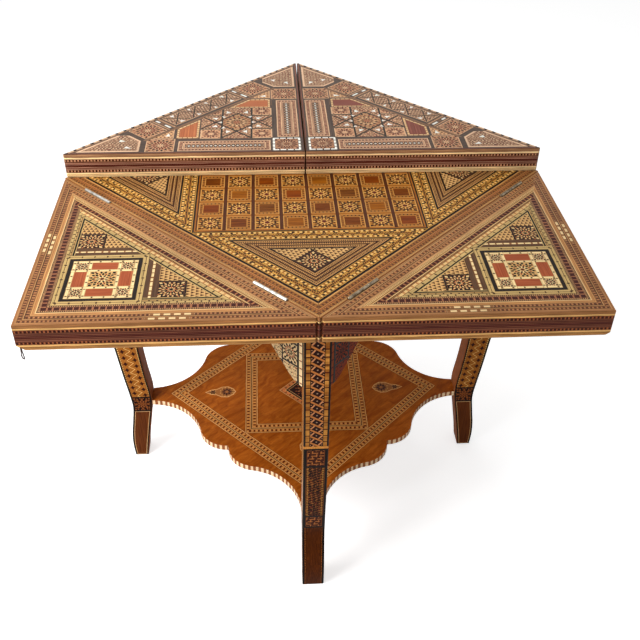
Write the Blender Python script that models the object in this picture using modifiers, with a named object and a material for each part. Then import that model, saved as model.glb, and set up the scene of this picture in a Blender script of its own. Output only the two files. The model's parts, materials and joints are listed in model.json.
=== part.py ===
"""Folding game table: a square top box on four sabre legs, with four triangular flaps that hinge on its sides.

Metres, +Z up. The origin is on the floor under the middle of the table, and the front leg stands towards -Y.
The two front flaps are open and the two back flaps are closed. Whatever repeats round the table is made once,
either in a side's frame (on the hinge axis: X along the side, Y inward, Z up) or in a leg's frame
(X outward from the middle of the table, Y up, Z across the leg), and is then placed four times.
"""

import math

import bmesh
import bpy
from mathutils import Euler, Matrix, Vector

# Clearances
SEAT_GAP = 0.0003            # between pieces that are glued or rest on each other
RUN_GAP = 0.0003             # round a hinge knuckle or its pin
CUT_OVERRUN = 0.002          # how far a cutter passes the face that it opens

# Top and flaps
CLOSED_SIDE = 0.628          # side of the closed square top
BOARD_HEIGHT = 0.715         # floor to the playing surface
FLAP_THICKNESS = 0.046
FLAP_PANEL_THICKNESS = 0.004
FOLD_GAP = 0.0006            # between a closed flap and the playing surface
JOINT_GAP = 0.0006           # between an open flap and the side of the top box
MITRE_GAP = 0.0025           # between neighbouring closed flaps
TIP_FLAT = 0.003             # how much of a flap's sharp tips is cut off
LOOP_CORNER_CHAMFER = 0.009  # on the outer corner of the apex that holds the pull loop
SECOND_CORNER_CHAMFER = 0.005  # and on the flap that opens second

# Top box
BOX_DEPTH = 0.046
RAIL_WIDTH = 0.030
LEDGE_WIDTH = 0.010
PLAYING_BOARD_THICKNESS = 0.012
FLOOR_THICKNESS = 0.006
FLOOR_REBATE = 0.007

# Hinges
HINGE_LENGTH = 0.070
HINGE_END_MARGIN = 0.065     # corner of the top to the near end of a hinge
KNUCKLE_RADIUS = 0.0030
MIDDLE_KNUCKLE_LENGTH = 0.024
PIN_RADIUS = 0.0013
LEAF_THICKNESS = 0.0016
LEAF_HEIGHT = 0.020
LEAF_SCREW_SPACING = 0.044
LEAF_SCREW_DROP = 0.012      # hinge axis to the screws' line
HINGE_SCREW_LENGTH = 0.014
HINGE_SCREW_RADIUS = 0.0012
HINGE_SCREW_HEAD_RADIUS = 0.0028
HINGE_SCREW_SINK = 0.0003    # how far a screw head lies below the face of its leaf

# Aprons
APRON_THICKNESS = 0.016
APRON_INSET = 0.020          # behind the side of the top box
APRON_MIDDLE_DROP = 0.057
APRON_END_DROP = 0.134
APRON_TOE_RADIUS = 0.045     # where the bracket rounds off at the leg
APRON_THROAT_RADIUS = 0.060  # where the bracket runs into the level middle
BRACKET_ANGLE = math.radians(45)
APRON_ARC_STEPS = 5

# Legs, with a profile of (share of the height, share of the top's reach, share of the top's depth)
LEG_WIDTH = 0.043
LEG_TOP_DEPTH = 0.066
LEG_SETBACK = 0.0005         # sides of the top box to the front corners of the leg
LEG_EDGE_BEVEL = 0.0012
LEG_PROFILE_SHARES = [
    (0.000, 0.936, 0.447),
    (0.052, 0.941, 0.545),
    (0.105, 0.936, 0.600),
    (0.167, 0.922, 0.612),
    (0.227, 0.911, 0.648),
    (0.284, 0.919, 0.718),
    (0.366, 0.936, 0.730),
    (0.479, 0.956, 0.768),
    (0.600, 0.980, 0.885),
    (0.700, 0.994, 0.965),
    (0.800, 1.000, 1.000),
    (1.000, 1.000, 1.000),
]
LEG_STEPS = 2                # points on the curve from one row of the profile to the next

# Corner blocks and their screws
BLOCK_DEPTH = 0.035
BLOCK_HEIGHT = 0.062
LEG_SCREW_LENGTH = 0.065
LEG_SCREW_RADIUS = 0.0030
LEG_SCREW_HEAD_RADIUS = 0.0065
LEG_SCREW_HEAD_DEPTH = 0.0035

# Shelf
SHELF_HEIGHT = 0.171         # floor to its upper face
SHELF_THICKNESS = 0.012
SHELF_NOTCH = 0.168          # middle of the table to the notch in each side, along X and along Y
SHELF_LOBE_RADIUS = 0.061
SHELF_FLARE_RADIUS = 0.121
SHELF_ARC_STEPS = 6
TENON_LENGTH = 0.010
TENON_WIDTH = 0.026

# Pull loop on the front left flap, in that flap's side frame: (across, out of the outer face)
THONG_DIAMETER = 0.0018
LOOP_INSET = 0.0065          # from the flap's apex
LOOP_HOLE_RADIUS = 0.0028
LOOP_HOLE_DEPTH = 0.012
LOOP_ROUTE = [
    (-0.0013, -0.0100), (-0.0013, -0.0070), (-0.0013, -0.0040), (-0.0013, -0.0010), (-0.0014, 0.0020),
    (-0.0018, 0.0050), (-0.0024, 0.0080), (-0.0031, 0.0110), (-0.0035, 0.0136), (-0.0036, 0.0160),
    (-0.0033, 0.0174), (-0.0025, 0.0186), (-0.0014, 0.0193), (0.0000, 0.0196), (0.0014, 0.0193),
    (0.0025, 0.0186), (0.0033, 0.0174), (0.0036, 0.0160), (0.0035, 0.0136), (0.0031, 0.0110),
    (0.0024, 0.0080), (0.0018, 0.0050), (0.0014, 0.0020), (0.0013, -0.0010), (0.0013, -0.0040),
    (0.0013, -0.0070), (0.0013, -0.0100),
]

BARREL_SIDES = 10            # facets of a hinge's knuckles and pin
SCREW_SIDES = 8
SMOOTH_ANGLE = math.radians(35)  # edges flatter than this are shaded smooth, and sharper ones are bevelled

SIDE_ANGLES = {"front_left": -45, "front_right": 45, "back_right": 135, "back_left": 225}
OPEN_SIDES = ("front_left", "front_right")
LOOP_SIDE = "front_left"
APEX_CHAMFERS = {"front_left": LOOP_CORNER_CHAMFER, "front_right": SECOND_CORNER_CHAMFER}
LEG_ANGLES = {"front": -90, "right": 0, "back": 90, "left": 180}
HINGE_SIGNS = (-1, 1)
LAYER_FINISHES = {
    "inner_panel": "playing_marquetry",
    "flap_core": "banded_edge",
    "outer_panel": "outer_marquetry",
}

# Sizes that follow from the ones above
AXIS_HEIGHT = BOARD_HEIGHT + FOLD_GAP / 2
AXIS_TO_CENTRE = CLOSED_SIDE / 2 + JOINT_GAP / 2
SIDE_FACE = JOINT_GAP / 2                    # in a side's frame, the box's and the closed flap's side
BOX_TOP = -FOLD_GAP / 2                      # in a side's frame
BOX_BOTTOM = BOX_TOP - BOX_DEPTH
LEG_HEIGHT = BOARD_HEIGHT - BOX_DEPTH - SEAT_GAP
LEG_REACH = (CLOSED_SIDE / 2 - LEG_SETBACK) * math.sqrt(2) - LEG_WIDTH / 2
HINGE_CENTRE = CLOSED_SIDE / 2 - HINGE_END_MARGIN - HINGE_LENGTH / 2
FLAP_UNDERSIDE = FOLD_GAP / 2
FLAP_TOP = FLAP_UNDERSIDE + FLAP_THICKNESS
FLAP_APEX = AXIS_TO_CENTRE - MITRE_GAP / math.sqrt(2)
LEAF_FACE = SIDE_FACE
LEAF_BACK = LEAF_FACE + LEAF_THICKNESS


# Scene, materials and placing

def clear_scene():
    for obj in list(bpy.data.objects):
        bpy.data.objects.remove(obj)


def new_collection(name):
    made = bpy.data.collections.new(name)
    bpy.context.scene.collection.children.link(made)
    return made


def new_material(name, colour, roughness, metallic=0.0):
    made = bpy.data.materials.new(name)
    made.use_nodes = True
    shader = made.node_tree.nodes["Principled BSDF"]
    shader.inputs["Base Color"].default_value = (*colour, 1.0)
    shader.inputs["Roughness"].default_value = roughness
    shader.inputs["Metallic"].default_value = metallic
    made.diffuse_color = (*colour, 1.0)
    return made


def new_object(name, mesh, parent=None, material=None):
    """A named piece of the table, in its parent's frame."""
    obj = bpy.data.objects.new(name, mesh)
    table.objects.link(obj)
    obj.parent = parent
    if material and not mesh.materials:
        mesh.materials.append(material)
    return obj


def new_anchor(name, matrix):
    """An empty that carries pieces: a side's hinge axis, or a leg's frame."""
    anchor = bpy.data.objects.new(name, None)
    anchor.location = matrix.to_translation()
    anchor.rotation_euler = matrix.to_euler()
    table.objects.link(anchor)
    return anchor


# Blanks and cutters: each function returns a loose object, and bake() turns one into a mesh

def loose(mesh_or_curve):
    """A blank or a cutter on its way to becoming part of a piece."""
    obj = bpy.data.objects.new("loose", mesh_or_curve)
    obj.hide_render = True
    obj.display_type = "WIRE"
    workshop.objects.link(obj)
    return obj


def bake(obj, smooth_angle=None):
    """The object's evaluated mesh, welded and in the frame that it stands in. The object is removed."""
    bpy.context.view_layer.update()
    graph = bpy.context.evaluated_depsgraph_get()
    mesh = bpy.data.meshes.new_from_object(obj.evaluated_get(graph))
    mesh.transform(obj.matrix_world)
    shape = bmesh.new()
    shape.from_mesh(mesh)
    bmesh.ops.remove_doubles(shape, verts=shape.verts, dist=SEAT_GAP / 10)
    bmesh.ops.recalc_face_normals(shape, faces=shape.faces)
    shape.to_mesh(mesh)
    shape.free()
    bpy.data.objects.remove(obj)
    if smooth_angle is not None:
        mesh.shade_smooth()
        mesh.set_sharp_from_angle(angle=smooth_angle)
    return mesh


def slab(outline, low, high):
    """A flat outline in X and Y, given the thickness from low to high in Z."""
    curve = bpy.data.curves.new("outline", "CURVE")
    curve.dimensions = "2D"
    curve.fill_mode = "BOTH"
    curve.extrude = (high - low) / 2
    spline = curve.splines.new("POLY")
    spline.points.add(len(outline) - 1)
    for point, (x, y) in zip(spline.points, outline):
        point.co = (x, y, 0, 1)
    spline.use_cyclic_u = True
    obj = loose(curve)
    obj.location.z = (low + high) / 2
    return loose(bake(obj))


def block(low, high):
    """A box between two opposite corners."""
    shape = bmesh.new()
    bmesh.ops.create_cube(shape, size=1)
    low, high = Vector(low), Vector(high)
    size = high - low
    bmesh.ops.scale(shape, vec=size, verts=shape.verts)
    bmesh.ops.translate(shape, vec=(low + high) / 2, verts=shape.verts)
    mesh = bpy.data.meshes.new("block")
    shape.to_mesh(mesh)
    shape.free()
    return loose(mesh)


def rod(start, end, radius, end_radius=None, sides=SCREW_SIDES):
    """A round bar or cone from start to end."""
    start, end = Vector(start), Vector(end)
    along = end - start
    shape = bmesh.new()
    bmesh.ops.create_cone(
        shape, cap_ends=True, segments=sides, depth=along.length,
        radius1=radius, radius2=radius if end_radius is None else end_radius,
    )
    turn = along.to_track_quat("Z", "Y").to_matrix().to_4x4()
    bmesh.ops.transform(shape, matrix=Matrix.Translation((start + end) / 2) @ turn, verts=shape.verts)
    mesh = bpy.data.meshes.new("rod")
    shape.to_mesh(mesh)
    shape.free()
    return loose(mesh)


def turned(profile, direction):
    """A turned shape on an axis through the origin. The profile's points are (distance along it, radius)."""
    mesh = bpy.data.meshes.new("profile")
    points = [(radius, 0, -along) for along, radius in profile]
    mesh.from_pydata(points, [(i, i + 1) for i in range(len(points) - 1)], [])
    obj = loose(mesh)
    screw = obj.modifiers.new("turn", "SCREW")
    screw.steps = SCREW_SIDES
    screw.render_steps = SCREW_SIDES
    screw.use_merge_vertices = True
    screw.merge_threshold = SEAT_GAP / 10
    obj.rotation_mode = "QUATERNION"
    obj.rotation_quaternion = (-Vector(direction)).to_track_quat("Z", "Y")
    return loose(bake(obj))


def boolean(obj, others, operation):
    """Cuts or joins the others with obj, and removes them."""
    for other in others:
        modifier = obj.modifiers.new(operation.lower(), "BOOLEAN")
        modifier.operation = operation
        modifier.solver = "EXACT"
        modifier.object = other
    made = loose(bake(obj))
    for other in others:
        bpy.data.objects.remove(other)
    return made


def cut(obj, others):
    return boolean(obj, others, "DIFFERENCE")


def join(obj, others):
    return boolean(obj, others, "UNION")


def bevelled(obj, width):
    modifier = obj.modifiers.new("edges", "BEVEL")
    modifier.width = width
    modifier.segments = 1
    modifier.limit_method = "ANGLE"
    modifier.angle_limit = SMOOTH_ANGLE
    return loose(bake(obj))


# Outlines

def arc(centre, radius, start, end, steps):
    """Points on an arc, from angle start to angle end, both included."""
    made = []
    for i in range(steps + 1):
        angle = start + (end - start) * i / steps
        made.append((centre[0] + radius * math.cos(angle), centre[1] + radius * math.sin(angle)))
    return made


def mirrored(half):
    """A symmetric outline: half of it, then its mirror image in the Y axis, in reverse."""
    return half + [(-x, y) for x, y in reversed(half) if x]


def reach_across(y, clearance):
    """In a side's frame, half the length at y of a piece that stops this far from the mitre lines."""
    return AXIS_TO_CENTRE - y - clearance * math.sqrt(2)


def mitred_strip(y_outer, y_inner, clearance):
    return mirrored([(reach_across(y_outer, clearance), y_outer), (reach_across(y_inner, clearance), y_inner)])


def flap_outline():
    """The flap's triangle, with its two sharp tips cut off square."""
    tip = reach_across(SIDE_FACE, MITRE_GAP / 2) - TIP_FLAT
    return mirrored([(tip, SIDE_FACE), (tip, SIDE_FACE + TIP_FLAT), (0, FLAP_APEX)])


def smooth_run(points, steps):
    """A Catmull-Rom curve through the points."""
    made = []
    ends = [points[0], *points, points[-1]]
    for a, b, c, d in zip(ends, ends[1:], ends[2:], ends[3:]):
        for i in range(steps):
            t = i / steps
            made.append(tuple(
                q + ((r - p) * t + (2 * p - 5 * q + 4 * r - s) * t**2 + (3 * q - p - 3 * r + s) * t**3) / 2
                for p, q, r, s in zip(a, b, c, d)
            ))
    made.append(points[-1])
    return made


def leg_faces():
    """The leg's outer and inner profile, from the floor up, as (reach, height)."""
    outer = [(LEG_REACH * reach, LEG_HEIGHT * height) for height, reach, _ in LEG_PROFILE_SHARES]
    inner = [
        (LEG_REACH * reach - LEG_TOP_DEPTH * depth, LEG_HEIGHT * height)
        for height, reach, depth in LEG_PROFILE_SHARES
    ]
    return smooth_run(outer, LEG_STEPS), smooth_run(inner, LEG_STEPS)


def inner_reach(low, high):
    """The least reach of the leg's inner face between two heights."""
    inner = leg_faces()[1]
    found = [reach for reach, height in inner if low <= height <= high]
    for (reach_a, a), (reach_b, b) in zip(inner, inner[1:]):
        for height in (low, high):
            if a <= height <= b and b > a:
                found.append(reach_a + (reach_b - reach_a) * (height - a) / (b - a))
    return min(found)


def apron_outline():
    """The apron seen from the front: a level middle, and a bracket that drops to each leg."""
    end = reach_across(SIDE_FACE + APRON_INSET, 0)
    top = BOX_BOTTOM - SEAT_GAP
    middle = top - APRON_MIDDLE_DROP
    bottom = top - APRON_END_DROP
    rise, run = math.sin(BRACKET_ANGLE), math.cos(BRACKET_ANGLE)
    toe = end - LEG_WIDTH / math.sqrt(2)
    toe_top = bottom + APRON_TOE_RADIUS * (1 - run)
    throat_bottom = middle - APRON_THROAT_RADIUS * (1 - run)
    straight = (throat_bottom - toe_top) / math.tan(BRACKET_ANGLE)
    throat = toe - APRON_TOE_RADIUS * rise - straight - APRON_THROAT_RADIUS * rise
    toe_arc = arc((toe, bottom + APRON_TOE_RADIUS), APRON_TOE_RADIUS,
                  -math.pi / 2, -math.pi / 2 - BRACKET_ANGLE, APRON_ARC_STEPS)
    throat_arc = arc((throat, middle - APRON_THROAT_RADIUS), APRON_THROAT_RADIUS,
                     math.pi / 2 - BRACKET_ANGLE, math.pi / 2, APRON_ARC_STEPS)
    return mirrored([(end, top), (end, bottom), *toe_arc, *throat_arc])


def shelf_outline():
    """The shelf: at each leg a tenon on a flared neck, and between legs two lobes that meet in a notch."""
    neck = Vector((tenon_root(), LEG_WIDTH / 2))
    lobe = Vector((SHELF_NOTCH, SHELF_NOTCH - SHELF_LOBE_RADIUS))
    flare = touching_centre(neck, lobe)
    neck_angle = math.atan2(neck.y - flare.y, neck.x - flare.x)
    meet_angle = math.atan2(lobe.y - flare.y, lobe.x - flare.x)
    meet_angle -= math.tau if meet_angle > neck_angle else 0
    half = [(neck.x + TENON_LENGTH, TENON_WIDTH / 2), (neck.x, TENON_WIDTH / 2)]
    half += arc(flare, SHELF_FLARE_RADIUS, neck_angle, meet_angle, SHELF_ARC_STEPS)
    half += arc(lobe, SHELF_LOBE_RADIUS, meet_angle + math.pi, math.pi / 2, SHELF_ARC_STEPS)[1:]
    quarter = half + [(y, x) for x, y in reversed(half)]
    outline = []
    for _ in range(4):
        outline += quarter
        quarter = [(-y, x) for x, y in quarter]
    return outline


def touching_centre(neck, lobe):
    """The centre of the hollow arc that starts at the neck and touches the lobe's circle."""
    far = SHELF_LOBE_RADIUS + SHELF_FLARE_RADIUS
    between = neck - lobe
    along = (far**2 - SHELF_FLARE_RADIUS**2 + between.length_squared) / (2 * between.length)
    aside = math.sqrt(far**2 - along**2)
    unit = between.normalized()
    return lobe + unit * along + Vector((-unit.y, unit.x)) * aside


# Screws

def hinge_screw():
    """A countersunk screw along +Y, with the face of its head at the origin."""
    cone = HINGE_SCREW_HEAD_RADIUS - HINGE_SCREW_RADIUS
    point = HINGE_SCREW_LENGTH - HINGE_SCREW_RADIUS * 2
    profile = [
        (0, 0), (0, HINGE_SCREW_HEAD_RADIUS), (cone, HINGE_SCREW_RADIUS),
        (point, HINGE_SCREW_RADIUS), (HINGE_SCREW_LENGTH, 0),
    ]
    return turned(profile, (0, 1, 0))


def leg_screw_mesh():
    """A screw along +X, with the underside of its head at the origin."""
    point = LEG_SCREW_LENGTH - LEG_SCREW_RADIUS * 2
    profile = [
        (-LEG_SCREW_HEAD_DEPTH, 0), (-LEG_SCREW_HEAD_DEPTH, LEG_SCREW_HEAD_RADIUS), (0, LEG_SCREW_HEAD_RADIUS),
        (0, LEG_SCREW_RADIUS), (point, LEG_SCREW_RADIUS), (LEG_SCREW_LENGTH, 0),
    ]
    return bake(turned(profile, (1, 0, 0)), SMOOTH_ANGLE)


# Hinges, in a side's frame with the hinge's middle at x = 0

def leaf_screw_places(side):
    """Where a leaf's screws stand. side is -1 for the leaf on the box and 1 for the leaf on the flap."""
    return [Vector((sign * LEAF_SCREW_SPACING / 2, LEAF_FACE, side * LEAF_SCREW_DROP)) for sign in HINGE_SIGNS]


def middle_span(slack):
    """The span of the middle knuckle along the axis, this much longer at both ends."""
    return [(-MIDDLE_KNUCKLE_LENGTH / 2 - slack, MIDDLE_KNUCKLE_LENGTH / 2 + slack)]


def end_spans(slack, overrun=0.0):
    """The spans of the two end knuckles, this much longer towards the middle, and by an overrun at the ends."""
    near, far = MIDDLE_KNUCKLE_LENGTH / 2 - slack, HINGE_LENGTH / 2 + overrun
    return [(-far, -near), (near, far)]


def leaf_mesh(side):
    """A leaf with its screws: the box leaf has the two end knuckles, and the flap leaf the middle one."""
    half = HINGE_LENGTH / 2
    low, high = sorted((0, side * LEAF_HEIGHT))
    plate = block((-half, LEAF_FACE, low), (half, LEAF_BACK, high))
    own = end_spans(-RUN_GAP / 2) if side < 0 else middle_span(-RUN_GAP / 2)
    foreign = middle_span(RUN_GAP / 2) if side < 0 else end_spans(RUN_GAP / 2, CUT_OVERRUN)
    room = [barrel(start, end, KNUCKLE_RADIUS + RUN_GAP) for start, end in foreign]
    leaf = join(cut(plate, room), [barrel(start, end, KNUCKLE_RADIUS) for start, end in own])
    bore = barrel(-half - CUT_OVERRUN, half + CUT_OVERRUN, PIN_RADIUS + RUN_GAP)
    sinks, screws = [], []
    for place in leaf_screw_places(side):
        sunk = place + Vector((0, HINGE_SCREW_SINK, 0))
        sinks.append(rod(place - Vector((0, CUT_OVERRUN, 0)), sunk, HINGE_SCREW_HEAD_RADIUS + RUN_GAP))
        screw = hinge_screw()
        screw.location = sunk - Vector((0, HINGE_SCREW_SINK / 2, 0))
        screws.append(screw)
    return bake(join(cut(leaf, [bore, *sinks]), screws), SMOOTH_ANGLE)


def barrel(start, end, radius):
    """A round bar on the hinge axis."""
    return rod((start, 0, 0), (end, 0, 0), radius, sides=BARREL_SIDES)


def hinge_room(side):
    """Cutters for a side's hinges: each leaf's mortise, the groove round its knuckles and its screws' holes."""
    cutters = []
    low, high = sorted((-side * CUT_OVERRUN, side * (LEAF_HEIGHT + SEAT_GAP)))
    for sign in HINGE_SIGNS:
        centre = sign * HINGE_CENTRE
        start = centre - HINGE_LENGTH / 2 - SEAT_GAP
        end = centre + HINGE_LENGTH / 2 + SEAT_GAP
        cutters.append(block((start, -CUT_OVERRUN, low), (end, LEAF_BACK + SEAT_GAP, high)))
        cutters.append(barrel(start, end, KNUCKLE_RADIUS + SEAT_GAP))
        for place in leaf_screw_places(side):
            place.x += centre
            tip = place + Vector((0, HINGE_SCREW_LENGTH + RUN_GAP, 0))
            cutters.append(rod(place, tip, HINGE_SCREW_RADIUS + RUN_GAP))
            cutters.append(rod(place, place + Vector((0, HINGE_SCREW_HEAD_RADIUS + RUN_GAP, 0)),
                               HINGE_SCREW_HEAD_RADIUS + RUN_GAP * 2, 0))
    return cutters


# Top box, in a side's frame

def rail_mesh():
    """A mitred rail, rebated above for the playing board and below for the floor."""
    inner = SIDE_FACE + RAIL_WIDTH + LEDGE_WIDTH
    rail = slab(mitred_strip(SIDE_FACE, inner, SEAT_GAP / 2), BOX_BOTTOM, BOX_TOP)
    board_seat = BOX_TOP - PLAYING_BOARD_THICKNESS - SEAT_GAP
    floor_seat = BOX_BOTTOM + FLOOR_THICKNESS + SEAT_GAP
    board_room = block((-CLOSED_SIDE, SIDE_FACE + RAIL_WIDTH, board_seat),
                       (CLOSED_SIDE, inner + CUT_OVERRUN, BOX_TOP + CUT_OVERRUN))
    floor_room = block((-CLOSED_SIDE, inner - FLOOR_REBATE, BOX_BOTTOM - CUT_OVERRUN),
                       (CLOSED_SIDE, inner + CUT_OVERRUN, floor_seat))
    return bake(cut(rail, [board_room, floor_room, *hinge_room(-1)]))


def square_panel(name, half, low, high, material):
    """A square panel of the top box, its sides along the table's sides."""
    obj = new_object(name, bake(block((-half, -half, low), (half, half, high))), None, material)
    obj.rotation_euler.z = math.radians(SIDE_ANGLES["front_right"])
    return obj


def apron_mesh():
    outer = SIDE_FACE + APRON_INSET
    board = slab(apron_outline(), -outer - APRON_THICKNESS, -outer)
    board.rotation_euler.x = math.pi / 2
    board = loose(bake(board))
    plan = slab(
        mitred_strip(outer - CUT_OVERRUN, outer + APRON_THICKNESS + CUT_OVERRUN, LEG_WIDTH / 2 + SEAT_GAP),
        BOX_BOTTOM - APRON_END_DROP - CUT_OVERRUN, BOX_BOTTOM + CUT_OVERRUN,
    )
    return bake(boolean(board, [plan], "INTERSECT"), SMOOTH_ANGLE)


# Legs, corner blocks and shelf

def leg_screw_height():
    return LEG_HEIGHT - BLOCK_HEIGHT / 2


def block_front():
    return inner_reach(LEG_HEIGHT - BLOCK_HEIGHT, LEG_HEIGHT) - SEAT_GAP


def screw_hole(start):
    """A hole for a leg's screw, from this reach to just past its point."""
    point = block_front() - BLOCK_DEPTH + LEG_SCREW_LENGTH
    height = leg_screw_height()
    return rod((start, height, 0), (point + SEAT_GAP, height, 0), LEG_SCREW_RADIUS + SEAT_GAP)


def tenon_root():
    """The reach of the shoulder on each neck of the shelf."""
    return inner_reach(SHELF_HEIGHT - SHELF_THICKNESS, SHELF_HEIGHT) - SEAT_GAP


def leg_mesh():
    outer, inner = leg_faces()
    leg = bevelled(slab(outer + inner[::-1], -LEG_WIDTH / 2, LEG_WIDTH / 2), LEG_EDGE_BEVEL)
    mortise_half = TENON_WIDTH / 2 + SEAT_GAP
    mortise = block(
        (tenon_root() - CUT_OVERRUN, SHELF_HEIGHT - SHELF_THICKNESS - SEAT_GAP, -mortise_half),
        (tenon_root() + TENON_LENGTH + SEAT_GAP, SHELF_HEIGHT + SEAT_GAP, mortise_half),
    )
    return bake(cut(leg, [screw_hole(block_front() - CUT_OVERRUN), mortise]), SMOOTH_ANGLE)


def block_mesh():
    """A corner block, screwed to the back of the leg and glued between two aprons."""
    front = block_front()
    back = front - BLOCK_DEPTH
    meet = math.sqrt(2) * (AXIS_TO_CENTRE - SIDE_FACE - APRON_INSET - APRON_THICKNESS - SEAT_GAP)
    plan = [(front, meet - front), (back, meet - back), (back, back - meet), (front, front - meet)]
    body = slab(plan, LEG_HEIGHT - BLOCK_HEIGHT, LEG_HEIGHT)
    body.rotation_euler.x = -math.pi / 2
    return bake(cut(loose(bake(body)), [screw_hole(back - CUT_OVERRUN)]))


def shelf_mesh():
    return bake(slab(shelf_outline(), SHELF_HEIGHT - SHELF_THICKNESS, SHELF_HEIGHT), SMOOTH_ANGLE)


# Flaps, in a side's frame and closed

def flap_layers():
    """The lower and upper height of each layer of a closed flap, whose playing side is underneath."""
    inner_top = FLAP_UNDERSIDE + FLAP_PANEL_THICKNESS
    outer_bottom = FLAP_TOP - FLAP_PANEL_THICKNESS
    return {
        "inner_panel": (FLAP_UNDERSIDE, inner_top),
        "flap_core": (inner_top + SEAT_GAP, outer_bottom - SEAT_GAP),
        "outer_panel": (outer_bottom, FLAP_TOP),
    }


def apex_cutter(chamfer):
    """Takes the corner off the flap's apex at its outer face."""
    cutter = block((-chamfer * 2, -chamfer * 2, 0), (chamfer * 2, chamfer * 2, chamfer * 2))
    cutter.rotation_euler.x = -math.pi / 4
    cutter.location = (0, FLAP_APEX - chamfer / 2, FLAP_TOP - chamfer / 2)
    return loose(bake(cutter))


def loop_hole():
    place = (0, FLAP_APEX - LOOP_INSET)
    return rod((*place, FLAP_TOP - LOOP_HOLE_DEPTH), (*place, FLAP_TOP + CUT_OVERRUN), LOOP_HOLE_RADIUS)


def flap_layer_mesh(layer, side):
    low, high = flap_layers()[layer]
    board = slab(flap_outline(), low, high)
    cutters = [] if layer == "outer_panel" else hinge_room(1)
    if layer != "inner_panel" and side in APEX_CHAMFERS:
        cutters.append(apex_cutter(APEX_CHAMFERS[side]))
    if layer != "inner_panel" and side == LOOP_SIDE:
        cutters.append(loop_hole())
    return bake(cut(board, cutters) if cutters else board)


def pull_loop(parent, material):
    """The thong that lifts the first flap, hanging from the flap's apex."""
    curve = bpy.data.curves.new("pull_loop", "CURVE")
    curve.dimensions = "3D"
    curve.bevel_depth = THONG_DIAMETER / 2
    curve.bevel_resolution = 2
    curve.use_fill_caps = True
    spline = curve.splines.new("POLY")
    spline.points.add(len(LOOP_ROUTE) - 1)
    for point, (across, out) in zip(spline.points, LOOP_ROUTE):
        point.co = (across, 0, out, 1)
    curve.materials.append(material)
    loop = bpy.data.objects.new("pull_loop", curve)
    table.objects.link(loop)
    loop.parent = parent
    loop.location = (0, FLAP_APEX - LOOP_INSET, FLAP_TOP)
    return loop


# Assembly

def side_matrix(degrees, opened=False):
    turn = Euler((math.pi if opened else 0, 0, math.radians(degrees)))
    away = Matrix.Rotation(math.radians(degrees), 4, "Z") @ Vector((0, -AXIS_TO_CENTRE, AXIS_HEIGHT))
    return Matrix.Translation(away) @ turn.to_matrix().to_4x4()


def leg_matrix(degrees):
    turn = Euler((math.pi / 2, 0, math.radians(degrees)))
    return turn.to_matrix().to_4x4()


def add_top_box(materials):
    rail, apron = rail_mesh(), apron_mesh()
    for side, degrees in SIDE_ANGLES.items():
        anchor = new_anchor(f"{side}_side", side_matrix(degrees))
        new_object(f"{side}_top_rail", rail, anchor, materials["banded_edge"])
        new_object(f"{side}_apron", apron, anchor, materials["apron_marquetry"])
    board_half = CLOSED_SIDE / 2 - RAIL_WIDTH - SEAT_GAP
    floor_half = CLOSED_SIDE / 2 - RAIL_WIDTH - LEDGE_WIDTH + FLOOR_REBATE - SEAT_GAP
    box_bottom = BOARD_HEIGHT - BOX_DEPTH
    square_panel("playing_board", board_half, BOARD_HEIGHT - PLAYING_BOARD_THICKNESS, BOARD_HEIGHT,
                 materials["playing_marquetry"])
    square_panel("box_floor", floor_half, box_bottom, box_bottom + FLOOR_THICKNESS, materials["plain_walnut"])


def add_stand(materials):
    leg, corner_block, screw = leg_mesh(), block_mesh(), leg_screw_mesh()
    head = (block_front() - BLOCK_DEPTH - SEAT_GAP, leg_screw_height(), 0)
    for place, degrees in LEG_ANGLES.items():
        anchor = new_anchor(f"{place}_leg_place", leg_matrix(degrees))
        new_object(f"{place}_leg", leg, anchor, materials["leg_marquetry"])
        new_object(f"{place}_corner_block", corner_block, anchor, materials["plain_walnut"])
        new_object(f"{place}_leg_screw", screw, anchor, materials["nickelled_steel"]).location = head
    new_object("shelf", shelf_mesh(), None, materials["shelf_marquetry"])


def add_flap(side, degrees, materials):
    anchor = new_anchor(f"{side}_flap_axis", side_matrix(degrees, side in OPEN_SIDES))
    for layer, finish in LAYER_FINISHES.items():
        new_object(f"{side}_{layer}", flap_layer_mesh(layer, side), anchor, materials[finish])
    if side == LOOP_SIDE:
        pull_loop(anchor, materials["leather_thong"])
    return anchor


def add_hinges(flap_anchors, materials):
    """Two butt hinges on each side."""
    steel = materials["nickelled_steel"]
    box_leaf, flap_leaf = leaf_mesh(-1), leaf_mesh(1)
    pin = bake(barrel(-HINGE_LENGTH / 2, HINGE_LENGTH / 2, PIN_RADIUS), SMOOTH_ANGLE)
    for side, degrees in SIDE_ANGLES.items():
        box_anchor = new_anchor(f"{side}_hinge_axis", side_matrix(degrees))
        for number, sign in enumerate(HINGE_SIGNS, 1):
            place = (sign * HINGE_CENTRE, 0, 0)
            hinge = f"{side}_hinge_{number}"
            new_object(f"{hinge}_box_leaf", box_leaf, box_anchor, steel).location = place
            new_object(f"{hinge}_flap_leaf", flap_leaf, flap_anchors[side], steel).location = place
            new_object(f"{hinge}_pin", pin, box_anchor, steel).location = place


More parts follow.
